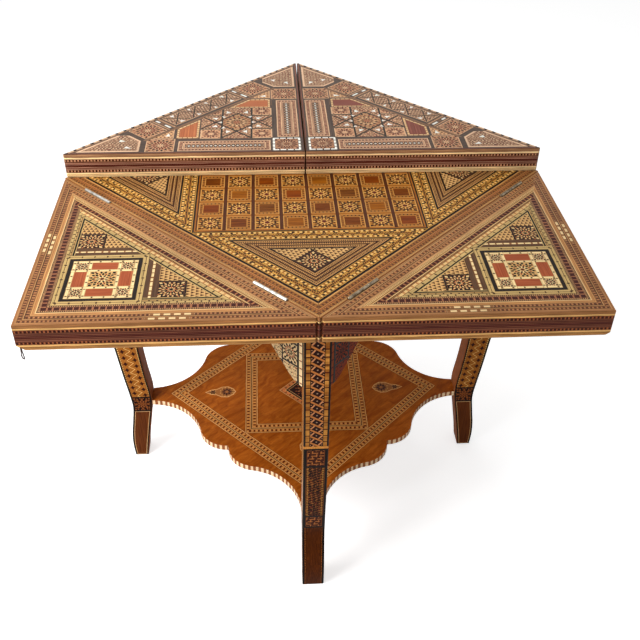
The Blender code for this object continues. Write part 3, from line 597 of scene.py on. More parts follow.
def add_playing_finishes():
    ink, dot = "3c2214", "583220"
    finish("tan_veneer", wood(TAN_BROWN, TAN))
    finish("ebony_line", wood(EBONY, "2c2119"), streaks=0.1)
    for name, dark, light in (
        ("walnut_square", "522403", "884409"), ("rosewood_square", "5c2402", "944404"),
        ("golden_square", "703a06", "ae6412"), ("smoked_square", "502606", "8a4e14"),
    ):
        finish(name, wood(dark, light, 2.6, 40.0))
    finish("rosewood_leaf", wood("883c20", "c46840", 1.2, 60.0))
    finish("dark_separator", wood("3a1a0c", "64361a"))
    finish("golden_separator", wood("884c16", "b2702a"))
    finish("flap_margin", patched(rows(FLAP_MARGIN, [
        (0.0, "c89a68"), (1.4, "9c6a40"), (3.4, "7c5232"), (4.2, "a8764a"), (7.2, ink), (7.9, "a67046"),
        (12.8, ink), (13.5, "98683e"), (14.8, "c69662"), (15.6, DARK_BROWN), (17.2, "a67046"), (22.4, ink),
        (23.1, "c08a54"), (25.6, "9c663c"), (26.6, "b8824e"), (29.2, "e2ba82"), (30.8, ink),
        (32.0, "be8e60"), (34.9, ink), (35.4, "9e6444"), (43.0, ink), (43.8, "be8e60"), (46.9, ink),
        (47.6, OLIVE_CREAM), (52.2, "463420"), (53.2, OLIVE_CREAM), (54.6, "8e663a"), (56.6, OLIVE_CREAM),
        (57.8, EBONY), (60.6, OLIVE_CREAM),
    ], [
        (8.2, 12.4, 6.4, 3.6, 0.0, dot), (17.6, 22.0, 6.4, 3.6, 3.0, dot), (32.4, 34.7, 3.2, 1.9, 0.0, ink),
        (35.8, 42.8, 9.6, 7.4, 0.0, "401c14"), (44.2, 46.7, 3.2, 1.9, 1.5, ink),
        (48.4, 52.0, 12.0, 2.6, 0.0, ink), (53.6, 56.4, 12.0, 2.6, 6.0, ink),
    ]), 33.0, [(8.2, 12.4, 0.0), (17.8, 22.0, -7.0)], 15.0, 9.6, "e8c892"))
    finish("hinge_margin", rows(HINGE_MARGIN, [
        (0.0, "a27248"), (3.4, ink), (4.1, "cc9c66"), (5.0, ink), (5.6, "aa7246"), (10.6, ink),
        (11.2, "c69662"), (12.4, "865636"), (14.6, "ae7e50"), (16.4, ink), (17.0, "aa7246"), (22.0, ink),
        (22.6, "b68658"), (25.6, "ce9c64"), (26.8, ink), (27.6, CREAM), (28.6, TAN_BROWN), (30.0, CREAM),
        (31.0, ink), (31.9, "a87646"), (33.6, CREAM), (34.7, ink), (35.4, "9e6440"), (42.6, ink),
        (43.3, CREAM), (44.5, "ac7848"), (48.2, ink), (48.8, TAN_ORANGE), (54.4, ink), (55.2, OLIVE_CREAM),
        (61.8, EBONY), (64.6, OLIVE_CREAM),
    ], [
        (6.2, 10.2, 8.7, 4.0, 0.0, dot), (12.6, 14.4, 4.4, 2.2, 0.0, ink), (17.6, 21.6, 8.7, 4.0, 4.3, dot),
        (35.9, 42.3, 9.2, 7.0, 0.0, "421c12"), (45.0, 47.9, 3.4, 1.9, 0.0, ink),
        (49.2, 54.0, 11.6, 8.0, 0.0, CREAM), (55.8, 61.2, 17.0, 2.6, 3.0, ink),
    ]))
    finish("rail_top", rows(30.0, [
        (0.0, "925e32"), (2.4, "d4a062"), (3.5, ink), (4.2, "c49056"), (5.2, ink), (5.8, "965e2e"),
        (10.2, ink), (10.8, "ae7840"), (12.8, RED_LINE), (14.4, "ae7840"), (16.4, ink), (17.0, "965e2e"),
        (21.4, ink), (22.0, "a67038"), (24.4, "d8a464"), (25.6, "683e20"), (26.7, EBONY),
    ], [
        (6.2, 9.8, 7.6, 3.8, 0.0, dot), (17.4, 21.0, 7.6, 3.8, 3.7, dot),
        (11.0, 12.6, 4.4, 2.0, 0.0, "784a28"),
    ]))
    seam = "3e200c"
    finish("golden_band", rows(27.0, [
        (0.0, EBONY), (0.9, GOLD), (2.0, seam), (2.8, "9e6226"), (7.4, seam), (8.2, GOLD), (10.6, seam),
        (11.4, "a46628"), (12.5, "48180c"), (14.5, "a46628"), (15.6, seam), (16.4, GOLD), (18.8, seam),
        (19.6, "9e6226"), (24.2, seam), (25.0, GOLD), (26.1, EBONY),
    ], [
        (3.0, 7.2, 8.6, 4.6, 0.0, "eaba6a"), (3.2, 7.0, 17.2, 4.2, 4.3, "1e0c06"),
        (19.8, 24.0, 8.6, 4.6, 4.3, "eaba6a"), (20.0, 23.8, 17.2, 4.2, 8.6, "1e0c06"),
        (8.4, 10.4, 19.0, 8.0, 3.0, EBONY), (16.6, 18.6, 19.0, 8.0, 12.5, EBONY),
        (12.2, 14.8, 19.0, 5.0, 0.0, EBONY), (11.2, 12.4, 4.4, 2.0, 0.0, GOLD),
        (14.6, 15.8, 4.4, 2.0, 2.2, GOLD),
    ]))
    line, stripe = "cc9658", "3a1c0c"
    finish("striped_band", rows(24.6, [
        (0.0, seam), (0.6, line), (2.2, EBONY), (2.8, stripe), (5.4, EBONY), (6.0, line), (7.0, "623418"),
        (9.8, EBONY), (10.4, stripe), (13.0, line), (14.0, EBONY), (14.6, "623418"), (17.2, EBONY),
        (17.8, line), (18.8, stripe), (21.4, EBONY), (22.0, line), (23.2, stripe),
    ], [
        (3.0, 5.2, 3.6, 1.9, 0.0, line), (7.2, 9.6, 3.6, 2.1, 1.8, "221008"),
        (10.6, 12.8, 3.6, 1.9, 0.0, line), (14.8, 17.0, 3.6, 2.1, 1.8, "221008"),
        (19.0, 21.2, 3.6, 1.9, 0.0, line),
    ]))
    finish("ring_band", rows(11.0, [
        (0.0, "463420"), (0.9, OLIVE_CREAM), (4.9, "3c2e1c"), (5.9, OLIVE_CREAM), (10.1, "463420"),
    ], [(3.2, 7.6, 20.0, 2.6, 0.0, ink)]))
    finish("cream_strip", rows(6.0, [(0.0, "b48a54"), (0.8, PALE_CREAM), (5.2, "b48a54")], [
        (1.4, 4.6, 17.6, 3.0, 8.8, "422c1a"),
    ]))
    finish("thin_dashes", rows(6.0, [(0.0, BROWN), (0.8, TAN_BROWN), (4.9, BROWN)], [
        (1.0, 4.8, 12.0, 9.0, 0.0, PALE_CREAM),
    ]))
    finish("brown_line", wood("462e1e", "6c4c34"))
    finish("chess_mosaic", rosette("ac702c", [
        (8, 0.5, 8.8, 8.8, 2.2, "622a12"), (8, 0.0, 8.2, 6.4, 1.5, "dca456"),
        (16, 0.5, 14.8, 4.8, 1.9, "281208"), (8, 0.0, 17.6, 3.8, 1.5, "e6b262"),
        (8, 0.0, 2.4, 2.4, 1.5, DARK_RED), (4, 0.5, 23.4, 4.6, 3.0, "30140a"),
        (8, 0.25, 21.4, 2.6, 1.8, "5c2210"), (16, 0.25, 18.4, 1.8, 1.2, "3c1a0c"),
        (16, 0.0, 11.6, 2.0, 1.1, "e6b262"), (8, 0.0, 13.4, 2.2, 1.6, "281208"),
        (8, 0.5, 5.2, 1.8, 1.0, "e6b262"),
    ], 21.2, 1.5, "ce964e"))
    finish("chess_frame", framed_square())
    finish("small_mosaic", rosette(PALE_CREAM, [
        (8, 0.0, 5.8, 3.4, 2.1, ink), (8, 0.5, 8.4, 2.6, 1.5, "8a3e24"), (8, 0.0, 1.6, 1.6, 1.0, DARK_RED),
        (4, 0.5, 11.2, 2.6, 2.4, ink),
    ]))
    finish("dense_mosaic", rosette("daac6c", [
        (16, 0.5, 17.5, 3.4, 2.4, EBONY), (8, 0.0, 13.0, 4.0, 2.3, EBONY),
        (8, 0.5, 12.6, 3.4, 1.8, "923e22"), (8, 0.5, 7.6, 3.6, 1.9, EBONY),
        (8, 0.0, 6.4, 3.2, 1.3, PALE_CREAM), (8, 0.0, 2.0, 2.0, 1.2, DARK_RED),
        (4, 0.5, 23.5, 4.0, 3.0, EBONY), (8, 0.25, 22.0, 2.8, 2.0, "6e321e"),
    ]))
    finish("dark_mosaic", rosette("180d0a", [
        (16, 0.5, 17.4, 3.2, 1.8, "deb074"), (8, 0.0, 12.4, 3.8, 1.8, "d6a466"),
        (8, 0.5, 11.6, 3.0, 1.5, "e4b87c"), (8, 0.0, 6.2, 3.2, 1.4, "b4643a"),
        (8, 0.5, 4.4, 2.2, 1.0, CREAM), (4, 0.5, 23.8, 3.8, 2.6, CREAM),
        (8, 0.25, 21.6, 2.6, 1.4, "b46c3e"), (16, 0.0, 14.6, 1.6, 0.9, "b4643a"),
    ], 20.6, 1.1, "603820"))
    finish("cream_triangle", dotted("d4a668", "542e18", 7.2, 0.42))


def add_outer_finishes():
    for name, dark, light in (
        ("smoked_ground", "6c4c36", "967052"), ("smoked_line", "40322a", "645246"),
        ("strap_line", "28221c", "3e342a"),
    ):
        finish(name, wood(dark, light))
    finish("outer_mosaic", speckle("b68c68", [
        ("684836", 0.0, 0.0, 0.30, 0.30), ("94503a", 0.5, 0.0, 0.26, 0.34),
        ("604232", 0.25, 0.5, 0.24, 0.26), ("dab48e", 0.75, 0.5, 0.24, 0.26),
    ], 6.6))
    finish("star_mosaic", speckle("a47e60", [
        ("5c4232", 0.0, 0.0, 0.32, 0.28), ("d6b28e", 0.5, 0.0, 0.26, 0.30),
        ("88503e", 0.25, 0.5, 0.24, 0.28), ("6e523e", 0.75, 0.5, 0.24, 0.24),
    ], 6.6))
    finish("hexagon_mosaic", rosette("b0845c", [
        (12, 0.0, 31.0, 5.0, 3.0, "3c261e"), (18, 0.5, 24.6, 3.6, 2.4, "7e3a28"),
        (12, 0.0, 18.2, 4.0, 2.6, "3c261e"), (12, 0.5, 15.0, 3.4, 1.6, "deb488"),
        (12, 0.5, 9.6, 3.6, 1.7, "3c261e"), (6, 0.0, 4.6, 4.0, 1.7, "8a3c28"),
        (12, 0.5, 37.4, 4.0, 3.0, "3c261e"),
    ]))
    finish("outer_red_mosaic", rosette("ce9a72", [
        (8, 0.5, 11.4, 6.4, 2.4, "602a20"), (8, 0.0, 8.0, 4.6, 1.6, "48241c"),
        (8, 0.0, 15.4, 3.2, 1.6, "48241c"), (8, 0.5, 4.0, 2.6, 1.1, SMOKED_LIGHT),
        (4, 0.5, 22.0, 3.0, 1.8, "6e3e2e"),
    ], 19.5, 1.7, SMOKED_LIGHT))
    finish("square_mosaic", rosette("bc8c66", [
        (16, 0.0, 13.0, 6.0, 2.2, "6c2c20"), (16, 0.5, 20.0, 5.0, 2.6, "38241c"),
        (8, 0.5, 7.0, 3.4, 1.6, "38241c"), (8, 0.0, 4.4, 3.0, 1.2, SMOKED_LIGHT),
        (16, 0.0, 26.6, 4.0, 2.6, "783828"), (12, 0.5, 32.0, 4.0, 2.8, "38241c"),
        (16, 0.5, 14.5, 2.0, 1.0, SMOKED_LIGHT),
    ]))
    finish("radiating_mosaic", rosette("b07e5c", [
        (16, 0.0, 12.0, 6.6, 1.7, "542c22"), (16, 0.5, 17.6, 4.6, 1.9, "482820"),
        (16, 0.5, 9.0, 3.6, 0.9, SMOKED_LIGHT), (8, 0.0, 4.0, 3.4, 1.2, "542c22"),
        (12, 0.25, 24.4, 3.4, 2.2, "542c22"), (4, 0.5, 29.0, 4.4, 2.6, "482820"),
    ]))
    finish("pearl_dashes", rows(5.0, [(0.0, SMOKED_DARK), (0.5, PEARL), (4.5, SMOKED_DARK)], [
        (0.4, 4.6, 13.25, 2.8, 0.0, "40322a"),
    ]), roughness=0.22)
    finish("pearl", pearl_sheet(), roughness=0.2, specular=0.3, streaks=0.03)
    finish("light_border", rows(7.0, [
        (0.0, "604638"), (0.7, "e2ba96"), (4.7, "744e3a"), (5.5, "ca9c78"), (6.4, "604638"),
    ]))
    finish("tan_border", rows(14.0, [
        (0.0, "543c30"), (0.8, "deb48e"), (3.0, "6e4232"), (3.8, "c49270"), (8.4, "643c2e"),
        (9.2, "deb48c"), (11.0, "6e4232"), (11.8, "ce9e7a"), (13.3, SMOKED_DARK),
    ], [(4.2, 8.0, 6.4, 3.6, 0.0, "542820")]))
    finish("pearl_dots", pearl_dots())
    finish("gold_dashes", rows(5.0, [(0.0, "78523a"), (0.7, "e2b884"), (4.3, "78523a")], [
        (0.9, 4.1, 9.4, 2.4, 0.0, "966846"),
    ]))
    finish("copper_leaf", wood("9c5030", "cc804e", 1.2, 60.0))
    finish("maroon_leaf", wood("6c342a", "9e5c48", 1.2, 60.0))
    finish("gold_speckle", dotted("ce9e70", "683e2a", 7.4, 0.38))
    finish("hinge_side_ticks", rows(9.0, [
        (0.0, "d6b290"), (5.6, "50382a"), (6.6, "966c4e"), (8.2, SMOKED_DARK),
    ], [(-1.0, 5.6, 19.0, 7.0, 0.0, "2c1e18")]))
    finish("light_line", wood("c49670", "e4b88e"))
    finish("outer_margin", rows(9.0, [
        (0.0, "966a4a"), (1.4, "482c24"), (3.0, "7e4e3c"), (5.0, "3c2822"), (7.6, "966c50"),
    ]))


def add_edge_and_leg_finishes():
    tick = "2c0e08"
    for name, upper, lower, line, gold, body, streak, orange, length in (
        ("front_edge", "b8844c", "9e6c42", "e2ae6a", "8a582c", "54281c", "784832", "94502e", 3.8),
        ("back_edge", "ae825c", "e8c48c", "f6d49c", "80583e", "6a3e30", "b08268", "b07a58", 3.0),
    ):
        finish(name, rows(FLAP_TOP, [
            (0.0, "5a361e"), (0.7, upper), (2.6, gold), (3.4, upper), (5.2, gold), (6.6, line),
            (9.6, "421a0c"), (10.4, orange), (14.9, "28100a"), (15.9, "724230"), (17.4, streak),
            (18.4, body), (20.4, streak), (21.3, "42120a"), (23.6, "744434"), (24.4, "42120a"),
            (26.0, streak), (27.1, body), (29.6, streak), (30.6, "2c120c"), (31.6, orange),
            (36.3, "421a0c"), (37.1, line), (40.0, "82522c"), (40.8, lower), (43.4, gold), (44.2, lower),
            (45.5, "603a1e"),
        ], [
            (10.9, 14.5, 6.0, length, 0.0, tick), (31.9, 35.8, 6.0, length, 2.9, tick),
        ]), streaks=0.34)
    finish("rail_side", rows(BOX_TOP - BOX_BOTTOM, [
        (0.0, TAN_BROWN), (6.4, DARK_BROWN), (7.2, CREAM), (9.4, BROWN), (14.6, PURPLE_BROWN),
        (21.0, "865c48"), (22.0, "3c120c"), (25.0, PURPLE_BROWN), (31.0, BROWN), (37.2, CREAM),
        (39.6, TAN_BROWN),
    ], [(10.4, 14.0, 6.0, 4.2, 0.0, tick), (32.2, 35.8, 6.0, 4.2, 2.9, tick)]))
    finish("flap_core_wood", wood("6c4226", "8a5834"), roughness=0.5)

    finish("leg_lattice", leg_lattice(), specular=0.04)
    finish("leg_cross_strip", wood("be762c", "e49c4a"))
    finish("leg_fret", leg_fret(), specular=0.03)
    finish("leg_second", leg_second(), specular=0.03)
    finish("leg_plain", rows(LEG_WIDTH, [
        (0.0, EBONY), (4.6, "96501c"), (6.2, "1e0c04"), (7.2, "4a2005"), (35.8, "1e0c04"), (36.8, "96501c"),
        (38.4, EBONY),
    ], [(4.8, 6.0, 4.6, 2.0, 0.0, EBONY), (37.0, 38.2, 4.6, 2.0, 0.0, EBONY)]), streaks=0.5, specular=0.02)
    finish("leg_panel", wood("4a200a", "7a401a"), specular=0.03)
    finish("leg_inside", wood("763e1c", "a66236"), roughness=0.6, specular=0.03)
    finish("leg_black", wood("100a07", "1e140e"), streaks=0.08, specular=0.04)
    finish("leg_gold_line", wood("be8a54", "e8bc88"))
    finish("leg_flank", flank_mosaic(), specular=0.04)
    finish("leg_flank_square", rosette("1a0c08", [
        (8, 0.0, 13.0, 5.0, 3.0, "84461e"), (8, 0.5, 7.6, 3.8, 2.0, "925026"),
        (8, 0.0, 3.2, 2.6, 1.4, "84461e"), (16, 0.5, 18.0, 2.6, 1.8, "925026"),
        (4, 0.5, 23.0, 3.6, 3.0, "84461e"),
    ]), specular=0.03)

    # The second set is darker copies of the apron veneers: painted shade for the front right apron.
    for ending, cream, light, red in (
        ("", "ccac7c", "e6ca98", "863a24"), ("_dark", "8a3002", "9c4206", "581401"),
    ):
        finish("apron_panel" + ending, apron_panel(cream, red), specular=0.03)
        finish("apron_mosaic" + ending, speckle(cream, [
            (EBONY, 0.0, 0.0, 0.26, 0.24), (red, 0.5, 0.0, 0.20, 0.30), ("462816", 0.25, 0.5, 0.16, 0.20),
        ], 7.4), specular=0.03)
        finish("apron_strip" + ending, rows(8.0, [(0.0, EBONY), (0.8, light), (7.4, EBONY)], [
            (1.2, 7.0, 16.0, 2.4, 0.0, red),
        ]), specular=0.03)
    finish("apron_black", wood(EBONY, "2e221a"), streaks=0.1)
    finish("apron_wood", wood("462614", "643a1e"))


def add_shelf_finishes():
    finish("shelf_burl", burl("8c420a", "b05e1a"), streaks=0.05, cloud=0.12, specular=0.04)
    row, seam, spot = "b86c2c", "622a0c", "541a0a"
    finish("shelf_band", rows(28.0, [
        (0.0, seam), (0.8, "e4a862"), (2.4, seam), (3.3, row), (10.4, seam), (11.2, "e2a45e"),
        (12.6, "220c06"), (14.6, "e2a45e"), (16.0, seam), (16.8, row), (24.2, seam), (25.2, "e4a862"),
        (26.9, seam),
    ], [
        (3.5, 10.2, 9.4, 5.2, 4.7, "ce8a46"), (4.4, 9.4, 9.4, 4.0, 0.0, spot),
        (17.0, 24.0, 9.4, 5.2, 0.0, "ce8a46"), (18.0, 23.2, 9.4, 4.0, 4.7, spot),
    ]), specular=0.04)
    finish("shelf_centre", rosette("281008", [
        (8, 0.0, 8.0, 5.0, 2.0, "8a4422"), (8, 0.5, 13.0, 4.4, 2.0, "aa683a"),
        (8, 0.5, 5.0, 3.0, 1.3, "aa683a"), (12, 0.0, 19.0, 3.4, 2.0, "8a4422"),
    ]))
    finish("shelf_rim", rows(12.0, [(0.0, "92542e")], [
        (-1.0, 13.0, 11.2, 5.8, 0.0, "eecea4"),
    ]))
    finish("shelf_wood", wood("703e1e", "8e562c"), roughness=0.5)
    finish("shelf_light_border", wood("d49454", "e8b270"))
    finish("shelf_orange_border", rows(9.0, [(0.0, "3c2010"), (0.6, "cc763e")], [
        (2.4, 6.4, 12.0, 3.4, 0.0, "462212"),
    ]))
    finish("shelf_flower", rosette("965c2c", [
        (8, 0.0, 7.4, 5.6, 2.7, "2e180e"), (8, 0.5, 8.4, 4.0, 1.6, "784222"),
        (8, 0.5, 2.6, 2.4, 1.4, "a06030"), (12, 0.5, 14.6, 2.0, 1.8, "ce9654"),
    ]))
    finish("shelf_leaf", rosette("965c2c", [
        (6, 0.0, 4.2, 3.8, 2.0, "2e180e"), (6, 0.5, 6.4, 2.2, 1.2, "ce9654"),
    ]))


# Drawings of marquetry: pieces of veneer laid one over another on a flat face

Inlay = namedtuple("Inlay", "corners finish origin along across")


def inlay(corners, name, origin=(0, 0), along=(1, 0), across=None):
    """A piece of veneer: its outline, its finish, and the frame that its U and V are measured in."""
    along = Vector(along).normalized()
    across = Vector((-along.y, along.x)) if across is None else Vector(across)
    return Inlay([Vector(corner) for corner in corners], name, Vector(origin), along, across)


def laid(*pieces):
    return [inlay(*piece) for piece in pieces]


def placed(inlays, origin, x_axis, y_axis):
    """The same pieces in another frame, which may be a mirrored one."""
    origin, x_axis, y_axis = Vector(origin), Vector(x_axis), Vector(y_axis)

    def turned(direction):
        return x_axis * direction.x + y_axis * direction.y

    return [
        Inlay([origin + turned(corner) for corner in piece.corners], piece.finish,
              origin + turned(piece.origin), turned(piece.along), turned(piece.across))
        for piece in inlays
    ]


def quarter_turns(inlays):
    """The same pieces four times round the centre."""
    made = []
    for x_axis, y_axis in (((1, 0), (0, 1)), ((0, 1), (-1, 0)), ((-1, 0), (0, -1)), ((0, -1), (1, 0))):
        made += placed(inlays, (0, 0), x_axis, y_axis)
    return made


def inset(corners, depths):
    """A counter-clockwise outline with each side moved inward by its depth. Side 0 starts at corner 0."""
    corners = [Vector(corner) for corner in corners]
    count = len(corners)
    depths = [depths] * count if isinstance(depths, (int, float)) else depths
    made = []
    for i, here in enumerate(corners):
        before = (here - corners[i - 1]).normalized()
        after = (corners[(i + 1) % count] - here).normalized()
        normal_a, normal_b = Vector((-before.y, before.x)), Vector((-after.y, after.x))
        turn = normal_a.cross(normal_b)
        if abs(turn) < 1e-4:
            made.append(here + normal_b * depths[i])
            continue
        a, b = here.dot(normal_a) + depths[i - 1], here.dot(normal_b) + depths[i]
        x, y = a * normal_b.y - b * normal_a.y, b * normal_a.x - a * normal_b.x
        made.append(Vector((x / turn, y / turn)))
    return made


def border(corners, start, end, name, sides=None):
    """Mitred strips along an outline's sides, between two depths. V counts from a strip's outer edge, and U
    from its middle."""
    corners = [Vector(corner) for corner in corners]
    outer, inner = inset(corners, start), inset(corners, end)
    made = []
    for i in range(len(corners)) if sides is None else sides:
        after = (i + 1) % len(corners)
        along = (corners[after] - corners[i]).normalized()
        middle = (corners[i] + corners[after]) / 2
        across = Vector((-along.y, along.x))
        depth = start if isinstance(start, (int, float)) else start[i]
        strip = [outer[i], outer[after], inner[after], inner[i]]
        made.append(inlay(strip, name, middle + across * depth, along))
    return made


def rectangle(x_low, y_low, x_high, y_high):
    return [(x_low, y_low), (x_high, y_low), (x_high, y_high), (x_low, y_high)]


def square(x, y, half):
    return rectangle(x - half, y - half, x + half, y + half)


def mitred(reach, low, high):
    """A strip along a side, mitred at both ends: reach is where its mitres would meet the hinge axis."""
    return [(-reach + low, low), (reach - low, low), (reach - high, high), (-reach + high, high)]


def partition(outline, inlays):
    """Cuts the face into pieces, each of which belongs to the last inlay laid there, or to none."""
    points, rings = [], []
    for ring in [outline, *[piece.corners for piece in inlays]]:
        area = sum(a.cross(b) for a, b in zip(ring, ring[1:] + ring[:1]))
        ordered = ring if area > 0 else ring[::-1]
        rings.append(list(range(len(points), len(points) + len(ordered))))
        points += ordered
    found, _, faces, _, _, owners = delaunay_2d_cdt(points, [], rings, 4, 2e-3)
    kept = [(list(face), max(owner) - 1) for face, owner in zip(faces, owners) if 0 in owner]
    return found, kept


class Board:
    """A flat piece with marquetry on its face and a rim, made as one closed mesh in millimetres."""

    def __init__(self, outline, inlays, ground, face_height, back_height, rounding=0.4,
                 back="flap_core_wood", rim="leg_black", rim_zero=0.0, rim_of=None, both_faces=False):
        self.outline = [Vector(corner) for corner in outline]
        self.flat = inset(self.outline, rounding) if rounding else self.outline
        self.face_height, self.back_height, self.rounding = face_height, back_height, rounding
        self.rim, self.rim_zero, self.rim_of, self.both_faces = rim, rim_zero, rim_of, both_faces
        self.sign = 1 if face_height > back_height else -1
        self.names = []
        self.shape = bmesh.new()
        self.veneer = self.shape.loops.layers.uv.new("veneer")
        self.tone = self.shape.faces.layers.float.new("tone")
        self.points, faces = partition(self.flat, inlays)
        self.top = [self.shape.verts.new((*point, face_height)) for point in self.points]
        self.bottom = {}
        edges = self.lay_faces(faces, inlays, ground)
        last_ring = self.lay_rim(edges)
        if not both_faces:
            self.lay_back(edges, last_ring, back)

    def slot_of(self, name):
        if name not in self.names:
            self.names.append(name)
        return self.names.index(name)

    def face(self, corners, name, uvs, tone):
        try:
            made = self.shape.faces.new(corners)
        except ValueError:
            return
        made.material_index = self.slot_of(name)
        made[self.tone] = tone
        for loop, uv in zip(made.loops, uvs):
            loop[self.veneer].uv = uv

    def lay_faces(self, faces, inlays, ground):
        """The face, and the back too where both show. Gives the edges of the rim."""
        edges = {}   # a dict keeps their order
        for face, owner in faces:
            edges.update(dict.fromkeys(zip(face, face[1:] + face[:1])))
            piece = inlays[owner] if owner >= 0 else inlay(self.flat, ground)
            tone = (owner * TONE_STEP) % 1.0
            away = [self.points[i] - piece.origin for i in face]
            uvs = [(off.dot(piece.along), off.dot(piece.across)) for off in away]
            corners = [self.top[i] for i in face]
            if self.sign < 0:
                corners, uvs = corners[::-1], uvs[::-1]
            self.face(corners, piece.finish, uvs, tone)
            if self.both_faces:
                for i in face:
                    if i not in self.bottom:
                        self.bottom[i] = self.shape.verts.new((*self.points[i], self.back_height))
                corners = [self.bottom[i] for i in face][::-self.sign]
                self.face(corners, piece.finish, uvs[::-1], tone)
        return [edge for edge in edges if edge[::-1] not in edges]

    def side_of(self, a, b):
        """The side that a stretch of the rim lies on: its number, its start along the rim, its first corner
        and its direction."""
        middle = (a + b) / 2
        best = None
        run = 0.0
        for i, here in enumerate(self.flat):
            after = self.flat[(i + 1) % len(self.flat)]
            length = (after - here).length
            along = (after - here) / length
            off = middle - here
            away = abs(off.cross(along))
            if -1e-2 < off.dot(along) < length + 1e-2 and (best is None or away < best[0]):
                best = (away, i, run, here, along)
            run += length
        return best[1:]

    def lay_rim(self, edges):
        """Down from the face: a small chamfer, the side, and the same chamfer again where both faces show."""
        levels = [(0.0, self.face_height)]
        if self.rounding:
            levels.append((self.rounding, self.face_height - self.sign * self.rounding))
            if self.both_faces:
                levels.append((self.rounding, self.back_height + self.sign * self.rounding))
        levels.append((0.0 if self.both_faces else self.rounding, self.back_height))
        pushes = self.pushes(edges)

        def ring(out, height):
            places = {i: (*(self.points[i] + push * out), height) for i, push in pushes.items()}
            return {i: self.shape.verts.new(place) for i, place in places.items()}

        rings = [{i: self.top[i] for i in pushes}] + [ring(*level) for level in levels[1:-1]]
        rings.append({i: self.bottom[i] for i in pushes} if self.both_faces else ring(*levels[-1]))
        heights = [abs(height - self.rim_zero) for _, height in levels]
        for a, b in edges:
            i, run, start, along = self.side_of(self.points[a], self.points[b])
            name = self.rim_of(i, (self.points[a] + self.points[b]) / 2) if self.rim_of else self.rim
            us = [run + (self.points[k] - start).dot(along) for k in (a, b)]
            for upper, lower, v_upper, v_lower in zip(rings, rings[1:], heights, heights[1:]):
                corners = [lower[a], lower[b], upper[b], upper[a]]
                uvs = [(us[0], v_lower), (us[1], v_lower), (us[1], v_upper), (us[0], v_upper)]
                if self.sign < 0:
                    corners, uvs = corners[::-1], uvs[::-1]
                self.face(corners, name, uvs, (i * RIM_TONE_STEP) % 1.0)
        return rings[-1]

    def pushes(self, edges):
        """For each point of the rim, how it moves out for each millimetre of the chamfer."""
        made = {}
        for a, b in edges:
            along = (self.points[b] - self.points[a]).normalized()
            for k in (a, b):
                made.setdefault(k, Vector((along.y, -along.x)))
        for k in made:
            for corner, outer in zip(self.flat, self.outline):
                if self.rounding and (self.points[k] - corner).length < 5e-3:
                    made[k] = (outer - corner) / self.rounding
                    break
        return made

    def lay_back(self, edges, ring, back):
        after = dict(edges)
        while after:
            start = next(iter(after))
            loop = [start]
            here = after.pop(start)
            while here != start:
                loop.append(here)
                here = after.pop(here)
            corners = [ring[i] for i in loop]
            uvs = [tuple(self.points[i]) for i in loop]
            if self.sign > 0:
                corners, uvs = corners[::-1], uvs[::-1]
            self.face(corners, back, uvs, 0.5)

    def mesh(self, name):
        loose = [vertex for vertex in self.shape.verts if not vertex.link_faces]
        bmesh.ops.delete(self.shape, geom=loose, context="VERTS")
        mesh = mesh_of(self.shape, name)
        for finish_name in self.names:
            mesh.materials.append(finishes[finish_name])
        return mesh


def mesh_of(shape, name):
    mesh = bpy.data.meshes.new(name)
    shape.to_mesh(mesh)
    shape.free()
    return mesh


def add_object(name, data):
    obj = bpy.data.objects.new(name, data)
    bpy.context.scene.collection.objects.link(obj)
    return obj


def add_piece(name, mesh, matrix, body, nodes):
    """Puts a mesh that is drawn in millimetres in its place, in metres, where it rides on its body."""
    mesh.transform(matrix @ Matrix.Scale(0.001, 4))
    mesh.shade_smooth()
    mesh.set_sharp_from_angle(angle=SHARP_ANGLE)
    mesh.update()
    obj = add_object(name, mesh)
    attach(obj, body)
    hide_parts(*nodes)


# Cutters, in millimetres

def block(low, high):
    shape = bmesh.new()
    bmesh.ops.create_cube(shape, size=1)
    low, high = Vector(low), Vector(high)
    bmesh.ops.scale(shape, vec=high - low, verts=shape.verts)
    bmesh.ops.translate(shape, vec=(low + high) / 2, verts=shape.verts)
    return mesh_of(shape, "block")


def rod(start, end, radius, end_radius=None, sides=32):
    start, end = Vector(start), Vector(end)
    along = end - start
    shape = bmesh.new()
    bmesh.ops.create_cone(shape, cap_ends=True, segments=sides, depth=along.length, radius1=radius,
                          radius2=radius if end_radius is None else end_radius)
    turn = along.to_track_quat("Z", "Y").to_matrix().to_4x4()
    bmesh.ops.transform(shape, matrix=Matrix.Translation((start + end) / 2) @ turn, verts=shape.verts)
    return mesh_of(shape, "rod")


def carve(mesh, cutters, operation="DIFFERENCE"):
    """The mesh with the cutters taken from it. What they open shows the piece's last finish."""
    obj = add_object("cutter", mesh)
    tools = []
    for tool_mesh in cutters:
        for polygon in tool_mesh.polygons:
            polygon.material_index = max(0, len(mesh.materials) - 1)
        tool = add_object("cutter", tool_mesh)
        tools.append(tool)
        modifier = obj.modifiers.new("cut", "BOOLEAN")
        modifier.operation = operation
        modifier.solver = "EXACT"
        modifier.object = tool
    bpy.context.view_layer.update()
    graph = bpy.context.evaluated_depsgraph_get()
    made = bpy.data.meshes.new_from_object(obj.evaluated_get(graph), preserve_all_data_layers=True,
                                           depsgraph=graph)
    for spare in [obj, *tools]:
        bpy.data.objects.remove(spare)
    return made


def hinge_room(side):
    """Room for a side's leaves and knuckles. side is -1 in the box and 1 in the flap."""
    made = []
    low, high = sorted((-side * 2.0, side * (LEAF_HEIGHT + SEAT_GAP)))
    for sign in (-1, 1):
        start = sign * HINGE_CENTRE - HINGE_LENGTH / 2 - SEAT_GAP
        end = sign * HINGE_CENTRE + HINGE_LENGTH / 2 + SEAT_GAP
        made.append(block((start, -2.0, low), (end, LEAF_BACK + SEAT_GAP, high)))
        made.append(rod((start, 0, 0), (end, 0, 0), KNUCKLE_RADIUS + SEAT_GAP))
    return made


